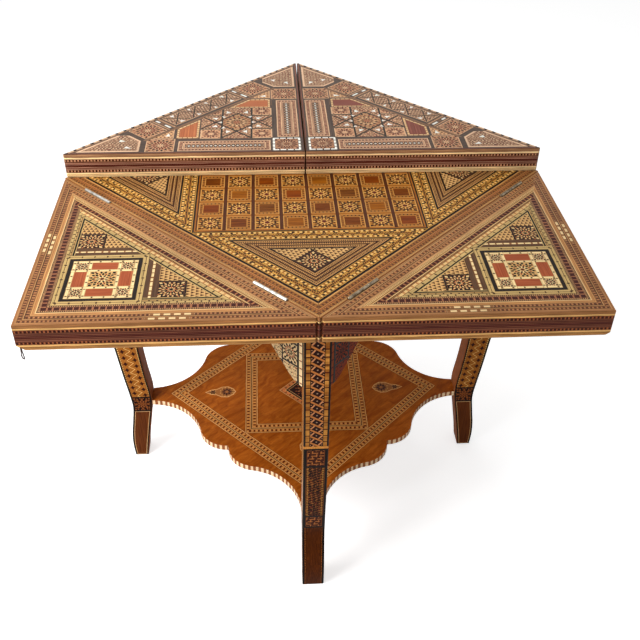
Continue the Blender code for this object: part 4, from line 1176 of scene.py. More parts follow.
# The flaps, drawn from the apex: X and Y along the two legs of the triangle

def in_flap(inlays):
    """From the drawing's frame, with its origin at the apex, to the flap's frame."""
    return placed(inlays, (0, AXIS_TO_CENTRE), (-ROOT_HALF, -ROOT_HALF), (ROOT_HALF, -ROOT_HALF))


def both_hands(inlays):
    """The same pieces and their mirror images in the flap's axis."""
    return inlays + placed(inlays, (0, 0), (0, 1), (1, 0))


def corner_block(x, y, leg, side, line):
    """A right-angled block: a dark mosaic square in its corner, and cream triangles past its inner sides."""
    return laid(
        ([(x, y), (x + leg, y), (x, y + leg)], "cream_triangle", (x, y)),
        (rectangle(x + side, y, x + side + line, y + leg - side - line), "ebony_line"),
        (rectangle(x, y + side, x + leg - side - line, y + side + line), "ebony_line"),
        (square(x + side / 2, y + side / 2, side / 2), "dark_mosaic", (x + side / 2, y + side / 2)),
    )


def flap_triangle():
    return [(0, 0), (FLAP_LEG, 0), (0, FLAP_LEG)]


def playing_side():
    """The playing side of a flap, which shows when the flap is open."""
    triangle = flap_triangle()
    depths = [FLAP_MARGIN, HINGE_MARGIN, FLAP_MARGIN]
    made = border(triangle, 0, depths, "flap_margin", [0, 2])
    made += border(triangle, 0, depths, "hinge_margin", [1])
    reach = FLAP_LEG - HINGE_MARGIN * math.sqrt(2)
    half = []
    start = 202.5
    for low, high, name in (
        (182, 188.5, "brown_line"), (188.5, 195, "thin_dashes"), (195, start, "brown_line"),
    ):
        corners = [(FLAP_MARGIN, low), (reach - low, low), (reach - high, high), (FLAP_MARGIN, high)]
        half.append(inlay(corners, name, (FLAP_MARGIN, low)))
    half += corner_block(FLAP_MARGIN, start, reach - FLAP_MARGIN - start, 41.0, 2.6)
    return in_flap(made + both_hands(half) + playing_corner(114.6))


def playing_corner(centre):
    """The square in the flap's corner: four rosewood leaves round a mosaic, in cream strips."""
    half = 51.0
    ring = square(centre, centre, half + 16.6)
    made = border(ring, 0, 11.0, "ring_band") + border(ring, 11.0, 16.6, "ebony_line")
    made.append(inlay(square(centre, centre, half), "cream_strip", (centre, centre + half)))
    places = [-half, -half + 6, -half + 25, -half + 31, half - 31, half - 25, half - 6, half]
    strips = [(centre + low, centre + high) for low, high in zip(places[::2], places[1::2])]
    low_edge, high_edge = centre - half, centre + half
    for low, high in strips:
        made.append(inlay(rectangle(low_edge, low, high_edge, high), "cream_strip", (centre, low)))
    for low, high in strips:
        made.append(inlay(rectangle(low, low_edge, high, high_edge), "cream_strip", (high, centre), (0, 1)))
    spans = {step: places[start:start + 2] for step, start in ((-1, 1), (0, 3), (1, 5))}
    for x, (x_low, x_high) in spans.items():
        for y, (y_low, y_high) in spans.items():
            middle = (centre + (x_low + x_high) / 2, centre + (y_low + y_high) / 2)
            name = ("dense_mosaic", "rosewood_leaf", "small_mosaic")[abs(x) + abs(y)]
            along = (0, 1) if x and not y else (1, 0)
            shape = rectangle(centre + x_low, centre + y_low, centre + x_high, centre + y_high)
            made.append(inlay(shape, name, middle, along))
    return made


def outer_side(mirrored, leaf):
    """The outer side of a flap, which shows when the flap is closed."""
    triangle = flap_triangle()
    made = border(triangle, 0, 9.0, "outer_margin", [0, 2])
    made += border(triangle, 0, 9.0, "hinge_side_ticks", [1])
    made += laid((inset(triangle, 8.5), "smoked_ground")) + knot()
    made += both_hands(beside_leg() + past_knot(leaf))
    # The band's frame has its origin at the middle of the hinge side
    middle = (FLAP_LEG / 2, FLAP_LEG / 2)
    made += placed(star_band(), middle, (-ROOT_HALF, ROOT_HALF), (-ROOT_HALF, -ROOT_HALF)) + outer_corner()
    return in_flap(placed(made, (0, 0), (0, 1), (1, 0)) if mirrored else made)


def beside_leg():
    """The long panel on one leg of the triangle, the mosaic square past it, and the tip."""
    panel, mosaic = rectangle(63, 8, 236, 51), rectangle(242, 7.5, 295, 60)
    tip = [(305, 8.5), (421.2, 8.5), (340.5, 89.2), (305, 53.7)]
    made = laid((rectangle(61, 5.5, 240, 59), "smoked_line")) + border(panel, 0, 14.0, "tan_border")
    made += laid(
        (inset(panel, 14.0), "pearl_dots", (149.5, 22.0)),
        (rectangle(238, 5.5, 304, 62), "smoked_line"),
        (mosaic, "square_mosaic", (268, 33)),
    )
    made += border(mosaic, 0, 1.8, "light_line")
    made += laid(([(296, 6), (425, 6), (338, 93), (296, 51)], "smoked_line"))
    made += border(tip, 0, 7.0, "light_border")
    return made + laid(
        (inset(tip, 7.0), "star_mosaic", (340, 40)),
        ([(334, 52), (346, 50), (344, 60)], "pearl", (334, 52)),
        ([(320, 22), (334, 24), (330, 32)], "pearl", (320, 22)),
    )


def past_knot(leaf):
    """The leaf and the gold triangle past the knot."""
    frame_of_leaf = [(199, 62), (241, 62), (241, 104), (199, 146)]
    made = laid(([(197, 60), (247, 60), (247, 104), (197, 154)], "smoked_line"))
    made += border(frame_of_leaf, 0, 5.0, "gold_dashes")
    return made + laid(
        (inset(frame_of_leaf, 5.0), leaf, (218, 64), (0, 1)),
        ([(246, 62), (288, 62), (246, 104)], "light_line", (246, 64)),
        ([(248, 64), (283, 64), (248, 99)], "gold_speckle", (248, 64)),
        ([(253, 71), (262, 71), (256, 84)], "pearl", (253, 71)),
    )


def outer_corner():
    """The square at the apex: a radiating mosaic in a frame of pearl."""
    outline = rectangle(7, 7, 60, 60)
    made = laid((rectangle(3, 3, 62, 62), "smoked_line"), (outline, "radiating_mosaic", (33.5, 33.5)))
    return made + border(outline, 0, 5.0, "pearl_dashes")


def star_band():
    """The band along the hinge side. X runs along it from its middle, and Y inward from the hinge line."""
    middle, mosaic = rectangle(-88, 12, 88, 56), rectangle(114, 10, 168, 61)
    made = laid(
        ([(-196, 9), (196, 9), (143, 63), (-143, 63)], "smoked_line"),
        ([(-176, 63), (176, 63), (170, 69), (-170, 69)], "smoked_ground"),
        (middle, "star_mosaic"),
    )
    made += border(middle, 0, 1.6, "light_line")
    half = laid(
        (rectangle(91, 10, 112, 61), "smoked_ground"), (rectangle(94, 10, 95.5, 61), "light_line"),
        (rectangle(108.5, 10, 110, 61), "light_line"), (rectangle(98.5, 10, 106, 61), "smoked_line"),
        (rectangle(100, 13, 104.6, 25), "pearl"), (rectangle(100, 27, 104.6, 38), "smoked_ground"),
        (rectangle(100, 40, 104.6, 56), "pearl"), (mosaic, "square_mosaic", (141, 35)),
        (rectangle(168, 10, 173, 61), "smoked_line"),
    )
    half += border(mosaic, 0, 1.6, "light_line")
    for start, low, high in ((0, 14, 54), (0, 54, 14), (44, 14, 54), (44, 54, 14)):
        strap = [(start, low), (start + 3.2, low), (start + 44, high), (start + 40.8, high)]
        half.append(inlay(strap, "strap_line"))
    for place, reach in ((22, 4.0), (66, 5.4)):
        for low, high in ((16, 25), (52, 43)):
            pearl = [(place - reach, low), (place + reach, low), (place + 2, high)]
            half.append(inlay(pearl, "pearl", (place, low)))
    return made + placed(half, (0, 0), (-1, 0), (0, 1)) + half


def knot():
    """The field by the corner: a six-pointed star of straps round a hexagon. Long straps run along Y."""
    left, right, low, high = 60.0, 197.0, 60.0, 210.0
    x, y, reach, half = 128.0, 131.0, 41.0, 28.6
    first, second = x - half, x + half
    hexagon = [(x, y - reach), (second, y - reach + half), (second, y + reach - half), (x, y + reach),
               (first, y + reach - half), (first, y - reach + half)]
    made = laid(
        (rectangle(left - 2, low - 2, right + 2, high), "smoked_line"),
        (rectangle(left, low, right, high), "outer_mosaic", (x, y)),
        (hexagon, "hexagon_mosaic", (x, y), (1, 1)),
    )
    for a in (left + 19.5, right - 20.5):
        for b in (low + 20, high - 27):
            made.append(inlay(square(a, b, 19.5), "outer_red_mosaic", (a, b)))

    straps = [((place, low), (place, high)) for place in (first, second)]
    for place in (low + 41, high - 48):
        straps += [((left, place), (first, place)), ((second, place), (right, place))]
    straps += [
        ((x + 68, y + 27), (x - 29, y - 70)), ((x - 1, y + reach + 1), (x - 68, y - 26)),
        ((x + 68, y - 27), (x - 1, y + reach)), ((x + 28, y - 69), (x - 68, y + 27)),
    ]
    for start, end in straps:
        start, end = Vector(start), Vector(end)
        aside = (end - start).normalized().orthogonal() * 1.9
        corners = [start - aside, end - aside, end + aside, start + aside]
        made.append(inlay(corners, "strap_line", start, end - start))

    for across, up, size in (
        (18, 46, 5.6), (42, 18, 5.6), (26, 25, 3.8), (32, 0, 3.8), (17, -42, 5.6), (42, -18, 5.6),
        (26, -25, 3.8),
    ):
        for sign in (-1, 1):
            away = Vector((across * sign, up)).normalized()
            aside = away.orthogonal() * size * 0.9
            middle = Vector((x + across * sign, y + up))
            back = middle - away * size * 0.7
            made.append(inlay([middle + away * size * 1.3, back + aside, back - aside], "pearl", middle))
    return made


def flap_outline():
    """The flap's triangle in the flap's frame, with its sharp tips cut off square."""
    tip = AXIS_TO_CENTRE - AXIS_GAP - MITRE_GAP / math.sqrt(2) - TIP_FLAT
    end = AXIS_GAP + TIP_FLAT
    return [(-tip, AXIS_GAP), (tip, AXIS_GAP), (tip, end), (0, FLAP_APEX), (-tip, end)]


def apex_cutter(chamfer):
    """Takes the top of the flap's apex off aslant, where fingers or the pull loop go."""
    mesh = block((-chamfer * 2, -chamfer * 2, 0), (chamfer * 2, chamfer * 2, chamfer * 2))
    place = Matrix.Translation((0, FLAP_APEX - chamfer / 2, FLAP_TOP - chamfer / 2))
    mesh.transform(place @ Matrix.Rotation(-math.pi / 4, 4, "X"))
    return mesh


def apex_cutters(side):
    chamfers = {"front_left": LOOP_CHAMFER, "front_right": SECOND_CHAMFER}
    made = [apex_cutter(chamfers[side])] if side in chamfers else []
    if side == "front_left":
        place = FLAP_APEX - LOOP_INSET * 1000
        made.append(rod((0, place, FLAP_TOP - 12), (0, place, FLAP_TOP + 2), 2.8))
    return made


def add_flaps(flaps):
    outer_hands = {"back_left": (True, "copper_leaf"), "front_right": (True, "copper_leaf"),
                   "back_right": (False, "maroon_leaf"), "front_left": (False, "maroon_leaf")}
    outline = flap_outline()
    inner_top, outer_bottom = FLAP_UNDERSIDE + PANEL_THICKNESS, FLAP_TOP - PANEL_THICKNESS
    for side, matrix in flaps.items():
        flap = f"{side}_flap"
        rim = {"rim": "back_edge" if side.startswith("back") else "front_edge", "rim_zero": FLAP_TOP}
        inner = Board(outline, playing_side(), "tan_veneer", FLAP_UNDERSIDE, inner_top, **rim)
        mesh = carve(inner.mesh("playing_side"), hinge_room(1))
        add_piece(f"{flap}_playing_side", mesh, matrix, flap, [f"{side}_inner_panel"])
        core = Board(outline, [], "flap_core_wood", outer_bottom - SEAT_GAP, inner_top + SEAT_GAP,
                     rounding=0.0, **rim)
        mesh = carve(core.mesh("core"), hinge_room(1) + apex_cutters(side))
        add_piece(f"{flap}_frame", mesh, matrix, flap, [f"{flap}_core"])
        drawing = outer_side(*outer_hands[side])
        mesh = Board(outline, drawing, "smoked_ground", FLAP_TOP, outer_bottom, **rim).mesh("outer_side")
        cutters = apex_cutters(side)
        if cutters:
            mesh = carve(mesh, cutters)
        add_piece(f"{flap}_outer_side", mesh, matrix, flap, [f"{side}_outer_panel"])


# The playing board and the rails

def chessboard():
    """Eight by eight squares, mosaics and plain ones in turn, with their separators."""
    half = CHESS_PITCH * 4
    edge = square(0, 0, half + CHESS_EDGE)
    made = laid((edge, "ebony_line"), (square(0, 0, half), "golden_separator"))
    for i in range(9):
        x = (i - 4) * CHESS_PITCH
        made.append(inlay(rectangle(x - 3.0, -half, x + 3.0, half), "dark_separator", (x, 0), (0, 1)))
    made += border(edge, 0, 2.2, "ebony_line")
    made += border(square(0, 0, half + 1.8), 0, 2.4, "golden_separator")
    plain = ["rosewood_square", "walnut_square", "golden_square", "walnut_square", "smoked_square",
             "rosewood_square", "golden_square"]
    for row in range(8):
        for column in range(8):
            x, y = (column - 3.5) * CHESS_PITCH, (row - 3.5) * CHESS_PITCH
            cell = square(x, y, CHESS_HALF_SQUARE)
            if (row + column) % 2 == 0:
                made.append(inlay(cell, "chess_mosaic", (x, y)))
                continue
            name = plain[(row * 5 + column * 3) % len(plain)]
            made += laid((cell, "chess_frame", (x, y)), (square(x, y, CHESS_HALF_CENTRE), name, (x, y)))
    return made


def corner_field():
    """The triangle between the chessboard and a corner: a golden band, a striped band and a block."""
    near = CHESS_PITCH * 4 + CHESS_EDGE
    far = (AXIS_TO_CENTRE - RAIL_WIDTH) * math.sqrt(2)
    triangle = [(0, -far), (far - near, -near), (near - far, -near)]
    made = []
    for start, end, name in (
        (0, 27.0, "golden_band"), (27.0, 29.4, "ebony_line"), (29.4, 54.0, "striped_band"),
        (54.0, 56.6, "ebony_line"),
    ):
        made += border(triangle, start, end, name)
    inner = inset(triangle, 56.6)
    block_leg = (inner[1] - inner[0]).length
    return made + placed(corner_block(0, 0, block_leg, 42.0, 2.8), inner[0], (ROOT_HALF, ROOT_HALF),
                         (-ROOT_HALF, ROOT_HALF))


def add_top(sides):
    corner = (CLOSED_SIDE / 2 - RAIL_WIDTH - SEAT_GAP) * math.sqrt(2)
    outline = [(0, -corner), (corner, 0), (0, corner), (-corner, 0)]
    drawing = laid((outline, "golden_band")) + quarter_turns(corner_field()) + chessboard()
    underside = BOARD_HEIGHT - BOARD_THICKNESS
    board = Board(outline, drawing, "tan_veneer", BOARD_HEIGHT, underside, rounding=0.2)
    add_piece("playing_board_marquetry", board.mesh("playing_board"), Matrix.Identity(4), "table",
              ["playing_board"])
    inner = AXIS_GAP + RAIL_WIDTH + LEDGE_WIDTH
    outline = mitred(AXIS_TO_CENTRE - RAIL_MITRE * math.sqrt(2), AXIS_GAP, inner)
    drawing = laid((rectangle(-330, 0, 330, 30.4), "rail_top", (0, AXIS_GAP)))
    for side, matrix in sides.items():
        rail = Board(outline, drawing, "flap_core_wood", BOX_TOP, BOX_BOTTOM, rounding=0.25, rim="rail_side",
                     rim_zero=BOX_TOP)
        rebate = BOX_TOP - BOARD_THICKNESS - SEAT_GAP
        board_room = block((-400, AXIS_GAP + RAIL_WIDTH, rebate), (400, 60, 10))
        rebate = BOX_BOTTOM + FLOOR_THICKNESS + SEAT_GAP
        floor_room = block((-400, inner - FLOOR_REBATE, BOX_BOTTOM - 10), (400, 60, rebate))
        mesh = carve(rail.mesh("rail"), [board_room, floor_room, *hinge_room(-1)])
        add_piece(f"{side}_rail_veneered", mesh, matrix, "table", [f"{side}_top_rail"])


# Hinges

def lathe(profile, direction, sides=32):
    """A turned solid through the origin, from points (distance along the axis, radius)."""
    shape = bmesh.new()
    turn = Vector(direction).to_track_quat("Z", "Y").to_matrix()
    rings = []
    for along, radius in profile:
        if radius < 1e-6:
            rings.append([shape.verts.new(turn @ Vector((0, 0, along)))])
            continue
        turns = [math.tau * i / sides for i in range(sides)]
        rings.append([
            shape.verts.new(turn @ Vector((radius * math.cos(angle), radius * math.sin(angle), along)))
            for angle in turns
        ])
    for low, high in zip(rings, rings[1:]):
        for i in range(sides):
            j = (i + 1) % sides
            corners = [low[i % len(low)], low[j % len(low)], high[j % len(high)], high[i % len(high)]]
            shape.faces.new(list(dict.fromkeys(corners)))
    bmesh.ops.recalc_face_normals(shape, faces=shape.faces)
    return mesh_of(shape, "turned")


def joined(meshes, name):
    """Loose shells in one mesh."""
    shape = bmesh.new()
    for mesh in meshes:
        shape.from_mesh(mesh)
    return mesh_of(shape, name)


def leaf_mesh(side):
    """A leaf with its knuckles and slotted screws. side is -1 on the box and 1 on the flap."""
    half, middle, gap = HINGE_LENGTH / 2, MIDDLE_KNUCKLE / 2, KNUCKLE_GAP
    low, high = sorted((0, side * LEAF_HEIGHT))
    plate = block((-half, LEAF_FACE, low), (half, LEAF_BACK, high))
    if side < 0:
        own = [(-half, -middle - gap), (middle + gap, half)]
        foreign = [(-middle - gap, middle + gap)]
    else:
        own = [(-middle + gap, middle - gap)]
        foreign = [(-half - 2, -middle + gap), (middle - gap, half + 2)]
    room = [rod((a, 0, 0), (b, 0, 0), KNUCKLE_RADIUS + SEAT_GAP) for a, b in foreign]
    screw_places = [
        Vector((sign * LEAF_SCREW_SPACING / 2, LEAF_FACE, side * LEAF_SCREW_DROP)) for sign in (-1, 1)
    ]
    above, below = Vector((0, 1, 0)), Vector((0, 1.4, 0))
    sinks = [rod(place - above, place + below, 3.9, 2.2) for place in screw_places]
    leaf = carve(plate, room + sinks)
    barrels = []
    for a, b in own:
        length = b - a
        barrel = lathe([(0, 0), (0, 2.7), (0.3, KNUCKLE_RADIUS), (length - 0.3, KNUCKLE_RADIUS),
                        (length, 2.7), (length, 0)], (1, 0, 0))
        barrel.transform(Matrix.Translation((a, 0, 0)))
        barrels.append(barrel)
    leaf = carve(leaf, barrels, "UNION")
    leaf = carve(leaf, [rod((-half - 2, 0, 0), (half + 2, 0, 0), PIN_RADIUS + SEAT_GAP)])
    screws = []
    for sign, place in zip((-1, 1), screw_places):
        slot = block((-3, -1, -0.35), (3, 0.9, 0.35))
        slot.transform(Matrix.Rotation(0.6 + sign * 0.5 * side, 4, "Y"))
        screw = carve(lathe(SCREW_PROFILE, (0, 1, 0)), [slot])
        screw.transform(Matrix.Translation(place))
        screws.append(screw)
    return joined([leaf, *screws], "leaf")


def pin_mesh():
    end = HINGE_LENGTH
    mesh = lathe([(0, 0), (0.1, 0.8), (0.5, PIN_RADIUS), (end - 0.5, PIN_RADIUS), (end - 0.1, 0.8),
                  (end, 0)], (1, 0, 0))
    mesh.transform(Matrix.Translation((-end / 2, 0, 0)))
    return mesh


def add_hinges(sides, flaps):
    box_leaf, flap_leaf, pin = leaf_mesh(-1), leaf_mesh(1), pin_mesh()
    for side, matrix in sides.items():
        # The front right hinges take the darker copy of the steel: painted shade.
        steel = finishes["tarnished_steel" if side == "front_right" else "hinge_steel"]
        for number, sign in enumerate((-1, 1), 1):
            shift = Matrix.Translation((sign * HINGE_CENTRE * 0.001, 0, 0))
            hinge = f"{side}_hinge_{number}"
            for name, shape, place, body, node in (
                ("leaf_on_box", box_leaf, matrix, "table", "box_leaf"),
                ("leaf_on_flap", flap_leaf, flaps[side], f"{side}_flap", "flap_leaf"),
                ("turned_pin", pin, matrix, "table", "pin"),
            ):
                mesh = shape.copy()
                clad(mesh, steel)
                nodes = [f"{hinge}_{node}"]
                add_piece(f"{hinge}_{name}", mesh, place @ shift, body, nodes)


# Legs, aprons and shelf

def smooth_run(points, steps):
    """A Catmull-Rom curve through the points."""
    made = []
    ends = [points[0], *points, points[-1]]
    for a, b, c, d in zip(ends, ends[1:], ends[2:], ends[3:]):
        for i in range(steps):
            t = i / steps
            made.append(Vector([
                q + ((r - p) * t + (2 * p - 5 * q + 4 * r - s) * t**2 + (3 * q - p - 3 * r + s) * t**3) / 2
                for p, q, r, s in zip(a, b, c, d)
            ]))
    made.append(Vector(points[-1]))
    return made


def at_heights(run, heights):
    """The run, with a point added at each of the heights."""
    made = list(run)
    for height in heights:
        for i, (a, b) in enumerate(zip(made, made[1:])):
            if a.y < height - 0.2 and b.y > height + 0.2:
                made.insert(i + 1, a.lerp(b, (height - a.y) / (b.y - a.y)))
                break
    return made


def leg_runs(heights=()):
    """The leg's outer and inner edges, from the foot up, with a point at each of the heights."""
    outer, inner = [], []
    for height, reach, depth in LEG_PROFILE:
        outer.append((LEG_REACH * reach, LEG_HEIGHT * height))
        inner.append((LEG_REACH * reach - LEG_DEPTH * depth, LEG_HEIGHT * height))
    return [at_heights(smooth_run(run, 5), heights) for run in (outer, inner)]


def leg_slice(low, high, margin):
    """The part of a leg's side between two heights, this far inside its edges."""
    outer, inner = leg_runs([low, high])
    right = [Vector((p.x - margin, p.y)) for p in outer if low - 0.1 <= p.y <= high + 0.1]
    left = [Vector((p.x + margin, p.y)) for p in inner if low - 0.1 <= p.y <= high + 0.1]
    return right + left[::-1]


def leg_flank():
    """The leg's side: a plain foot inside a thin line, a dark square, and mosaic along the leg's curve."""
    made = laid((leg_slice(3, 139, 4.2), "leg_gold_line", (0, 0), (0, 1)),
                (leg_slice(4.5, 137.5, 5.6), "leg_panel", (0, 0), (0, 1)))
    runs = leg_runs()

    def middle(height):
        found = []
        for run in runs:
            a, b = next((a, b) for a, b in zip(run, run[1:]) if b.y >= height)
            found.append(a.lerp(b, (height - a.y) / (b.y - a.y)))
        return (found[0] + found[1]) / 2

    made.append(inlay(leg_slice(143, 179, 4.6), "leg_flank_square", middle(161), (0, 1)))
    heights = [183, 240, 300, 360, 420, 480, 540, 660]
    for low, high in zip(heights, heights[1:]):
        along = (middle(high) - middle(low)).normalized()
        made.append(inlay(leg_slice(low, high, 4.6), "leg_flank", middle(low) - along * low, along))
    return made


def leg_rim(outer_count):
    """Tells what the rim of a leg shows: bands on its front, where the outline starts, and wood inside."""
    def name_of(side, point):
        if side >= outer_count - 1:
            return "leg_inside"
        return next((name for height, name in reversed(LEG_BANDS) if point.y > height), "leg_plain")
    return name_of


def add_legs(places):
    outer, inner = leg_runs([height for height, _ in LEG_BANDS])
    for place, matrix in places.items():
        board = Board(outer + inner[::-1], leg_flank(), "leg_black", LEG_WIDTH / 2, -LEG_WIDTH / 2,
                      rounding=LEG_EDGE, rim_zero=-LEG_WIDTH / 2, rim_of=leg_rim(len(outer)), both_faces=True)
        mesh = board.mesh("leg")
        add_piece(f"{place}_leg_veneered", mesh, matrix, "table", [f"{place}_leg"])


def arc(centre, radius, start, end, steps):
    angles = [start + (end - start) * i / steps for i in range(steps + 1)]
    return [Vector((centre[0] + radius * math.cos(a), centre[1] + radius * math.sin(a))) for a in angles]


def apron_outline():
    """The apron from the front, in the side's frame: X along the side and Y up. Counter-clockwise."""
    end = AXIS_TO_CENTRE - AXIS_GAP - APRON_INSET
    top = BOX_BOTTOM - SEAT_GAP
    middle, bottom = top - APRON_MIDDLE_DROP, top - APRON_END_DROP
    toe = end - LEG_WIDTH * ROOT_HALF
    toe_top = bottom + APRON_TOE_RADIUS * (1 - ROOT_HALF)
    throat_bottom = middle - APRON_THROAT_RADIUS * (1 - ROOT_HALF)
    slope = throat_bottom - toe_top
    throat = toe - APRON_TOE_RADIUS * ROOT_HALF - slope - APRON_THROAT_RADIUS * ROOT_HALF
    centre = (toe, bottom + APRON_TOE_RADIUS)
    toe_arc = arc(centre, APRON_TOE_RADIUS, -math.pi / 2, -math.pi * 3 / 4, 8)
    centre = (throat, middle - APRON_THROAT_RADIUS)
    throat_arc = arc(centre, APRON_THROAT_RADIUS, math.pi / 4, math.pi / 2, 8)
    half = [Vector((end, top)), Vector((end, bottom)), *toe_arc, *throat_arc]
    clockwise = half + [Vector((-p.x, p.y)) for p in reversed(half)]
    return clockwise[::-1]


def apron_front(ending):
    """A strip by each leg, a panel next to it between black lines, and light mosaic elsewhere."""
    end = 262.0
    top = BOX_BOTTOM - SEAT_GAP
    bottom, middle = top - APRON_END_DROP, top - APRON_MIDDLE_DROP
    mosaic, panel = "apron_mosaic" + ending, "apron_panel" + ending
    half = laid(
        (rectangle(0, middle + 4, end, top), mosaic, (0, middle)),
        (rectangle(end - 90, bottom + 4, end, top), mosaic, (end - 70, bottom)),
        (rectangle(end - 46, bottom + 36, end, bottom + 84), "apron_black"),
        (rectangle(end - 43, bottom + 40, end - 12, bottom + 80), panel, (end - 27.5, bottom + 60)),
        (rectangle(end - 46, bottom + 20, end - 43, top), "apron_black"),
        (rectangle(end - 12, bottom, end - 9, top), "apron_black"),
        (rectangle(end - 9, bottom, end, top), "apron_strip" + ending, (end, top), (0, -1), (-1, 0)),
    )
    return half + placed(half, (0, 0), (-1, 0), (0, 1))


def add_aprons(sides):
    outer = AXIS_GAP + APRON_INSET
    reach = AXIS_TO_CENTRE - (LEG_WIDTH / 2 + SEAT_GAP) * math.sqrt(2)
    between_legs = mitred(reach, outer - 2, outer + APRON_THICKNESS + 2)
    for side, matrix in sides.items():
        # The front right apron takes the darker copies of its veneers: painted shade.
        ending = "_dark" if side == "front_right" else ""
        board = Board(apron_outline(), apron_front(ending), "apron_black", 0.0, -APRON_THICKNESS,
                      rounding=0.5, back="apron_wood", rim="apron_wood")
        mesh = board.mesh("apron")
        mesh.transform(Matrix.Translation((0, outer, 0)) @ Matrix.Rotation(math.pi / 2, 4, "X"))
        room = Board(between_legs, [], "apron_wood", BOX_BOTTOM + 5, BOX_BOTTOM - APRON_END_DROP - 5,
                     rounding=0.0, back="apron_wood", rim="apron_wood")
        mesh = carve(mesh, [room.mesh("room")], "INTERSECT")
        add_piece(f"{side}_apron_veneered", mesh, matrix, "table", [f"{side}_apron"])


def shelf_outline(neck_x):
    """The shelf: at each leg a tenon on a flared neck, and between legs two lobes that meet in a notch."""
    neck = Vector((neck_x, LEG_WIDTH / 2))
    lobe = Vector((SHELF_NOTCH, SHELF_NOTCH - SHELF_LOBE))
    far = SHELF_LOBE + SHELF_FLARE
    between_them = neck - lobe
    along = (far**2 - SHELF_FLARE**2 + between_them.length_squared) / (2 * between_them.length)
    aside = math.sqrt(far**2 - along**2)
    unit = between_them.normalized()
    flare = lobe + unit * along + Vector((-unit.y, unit.x)) * aside
    neck_angle = math.atan2(neck.y - flare.y, neck.x - flare.x)
    meet_angle = math.atan2(lobe.y - flare.y, lobe.x - flare.x)
    meet_angle -= math.tau if meet_angle > neck_angle else 0
    half = [Vector((neck.x + TENON_LENGTH, TENON_WIDTH / 2)), Vector((neck.x, TENON_WIDTH / 2))]
    half += arc(flare, SHELF_FLARE, neck_angle, meet_angle, 16)
    half += arc(lobe, SHELF_LOBE, meet_angle + math.pi, math.pi / 2, 16)[1:]
    quarter = half + [Vector((p.y, p.x)) for p in reversed(half)]
    outline = []
    for _ in range(4):
        outline += quarter
        quarter = [Vector((-p.y, p.x)) for p in quarter]
    made = []
    for point in outline:
        if not made or (point - made[-1]).length > 0.05:
            made.append(point)
    return made


def shelf_face():
    """Bands along the sides and round the middle, a small square there, and a pear shape by each leg."""
    made = border([(0, -300), (300, 0), (0, 300), (-300, 0)], 0, 28.0, "shelf_band")
    made += border(square(0, 0, 133), 0, 28.0, "shelf_band")
    small = [(0, -57), (57, 0), (0, 57), (-57, 0)]
    for start, end, name in ((0, 1.5, "shelf_light_border"), (1.5, 9.5, "shelf_orange_border"),
                             (9.5, 10.6, "shelf_light_border"), (10.6, 14.6, "ebony_line"),
                             (14.6, 15.6, "shelf_light_border")):
        made += border(small, start, end, name)
    made.append(inlay(inset(small, 15.6), "shelf_centre", (0, 0), (1, 1)))
    pear = [(-34, 0), (-20, -8), (-8, -10), (4, -17), (18, -18), (30, -10), (36, 0), (30, 10), (18, 18),
            (4, 17), (-8, 10), (-20, 8)]
    tail = [(-31, 0), (-20, -6), (-8, -8), (-6, 0), (-8, 8), (-20, 6)]
    one = laid((pear, "shelf_light_border"), (inset(pear, 2.0), "shelf_flower", (15, 0)),
               (tail, "shelf_leaf", (-16, 0)))
    for c, s in ((1, 0), (0, 1), (-1, 0), (0, -1)):
        made += placed(one, (190 * c, 190 * s), (-c, -s), (s, -c))
    return made


def add_shelf():
    neck_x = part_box("shelf")[1].x * 1000 - TENON_LENGTH
    underside = SHELF_HEIGHT - SHELF_THICKNESS
    board = Board(shelf_outline(neck_x), shelf_face(), "shelf_burl", SHELF_HEIGHT, underside, rounding=0.5,
                  back="shelf_wood", rim="shelf_rim", rim_zero=SHELF_HEIGHT)
    mesh = board.mesh("shelf")
    add_piece("shelf_veneered", mesh, Matrix.Identity(4), "table", ["shelf"])


# Metal, leather and plain wood

def add_plain_finishes():
    # The second steel is a darker copy of the first: painted shade for the front right hinges.
    for name, bright, worn in (
        ("hinge_steel", "ceccc6", "8e887c"), ("tarnished_steel", "a0927c", "544432"),
    ):
        shader, start = new_finish(name)
        place = start.node("TexCoord").output("Object")
        dull = clouds(place, 160.0, 6.0)
        colour = inlaid(bright, ranged(dull, 0.35, 0.7, 0.0, 1.0), worn)
        scratches = bump(clouds(place, 2600.0, 2.0), 0.15, 0.0001)
        lead(shader, colour, ranged(dull, 0.3, 0.7, 0.24, 0.42), scratches)
        shader.inputs["Metallic"].default_value = 1.0

    shader, start = new_finish("leather")
    pores = clouds(start.node("TexCoord").output("Object"), 1500.0, 3.0)
    colour = inlaid("1e100c", ranged(pores, 0.3, 0.7, 0.0, 1.0), "382018")
    lead(shader, colour, ranged(pores, 0.3, 0.7, 0.62, 0.85), bump(pores, 0.5, 0.0003))

    shader, start = new_finish("hidden_walnut")
    x = start.node("SeparateXYZ", None, {0: start.node("TexCoord").output("Object")})
    streaks = noise(x * 14.0, x.output("Y") * 420.0, x.output("Z") * 420.0, 4.0)
    colour = inlaid("603a22", ranged(streaks, 0.3, 0.7, 0.0, 1.0), "8c5c38")
    lead(shader, colour, ranged(streaks, 0.3, 0.7, 0.5, 0.65), bump(streaks, 0.3, 0.0003))


def clad(mesh, material):
    """Gives the whole mesh one finish."""
    mesh.materials.clear()
    mesh.materials.append(material)


def finish_nodes():
    """The CAD nodes that stay: the floor of the box, the corner blocks and their screws."""
    for name, node in frame["nodes"].items():
        if name.endswith("corner_block") or name == "box_floor":
            clad(node.data, finishes["hidden_walnut"])
        if name.endswith("leg_screw"):
            clad(node.data, finishes["hinge_steel"])


# The pull loop

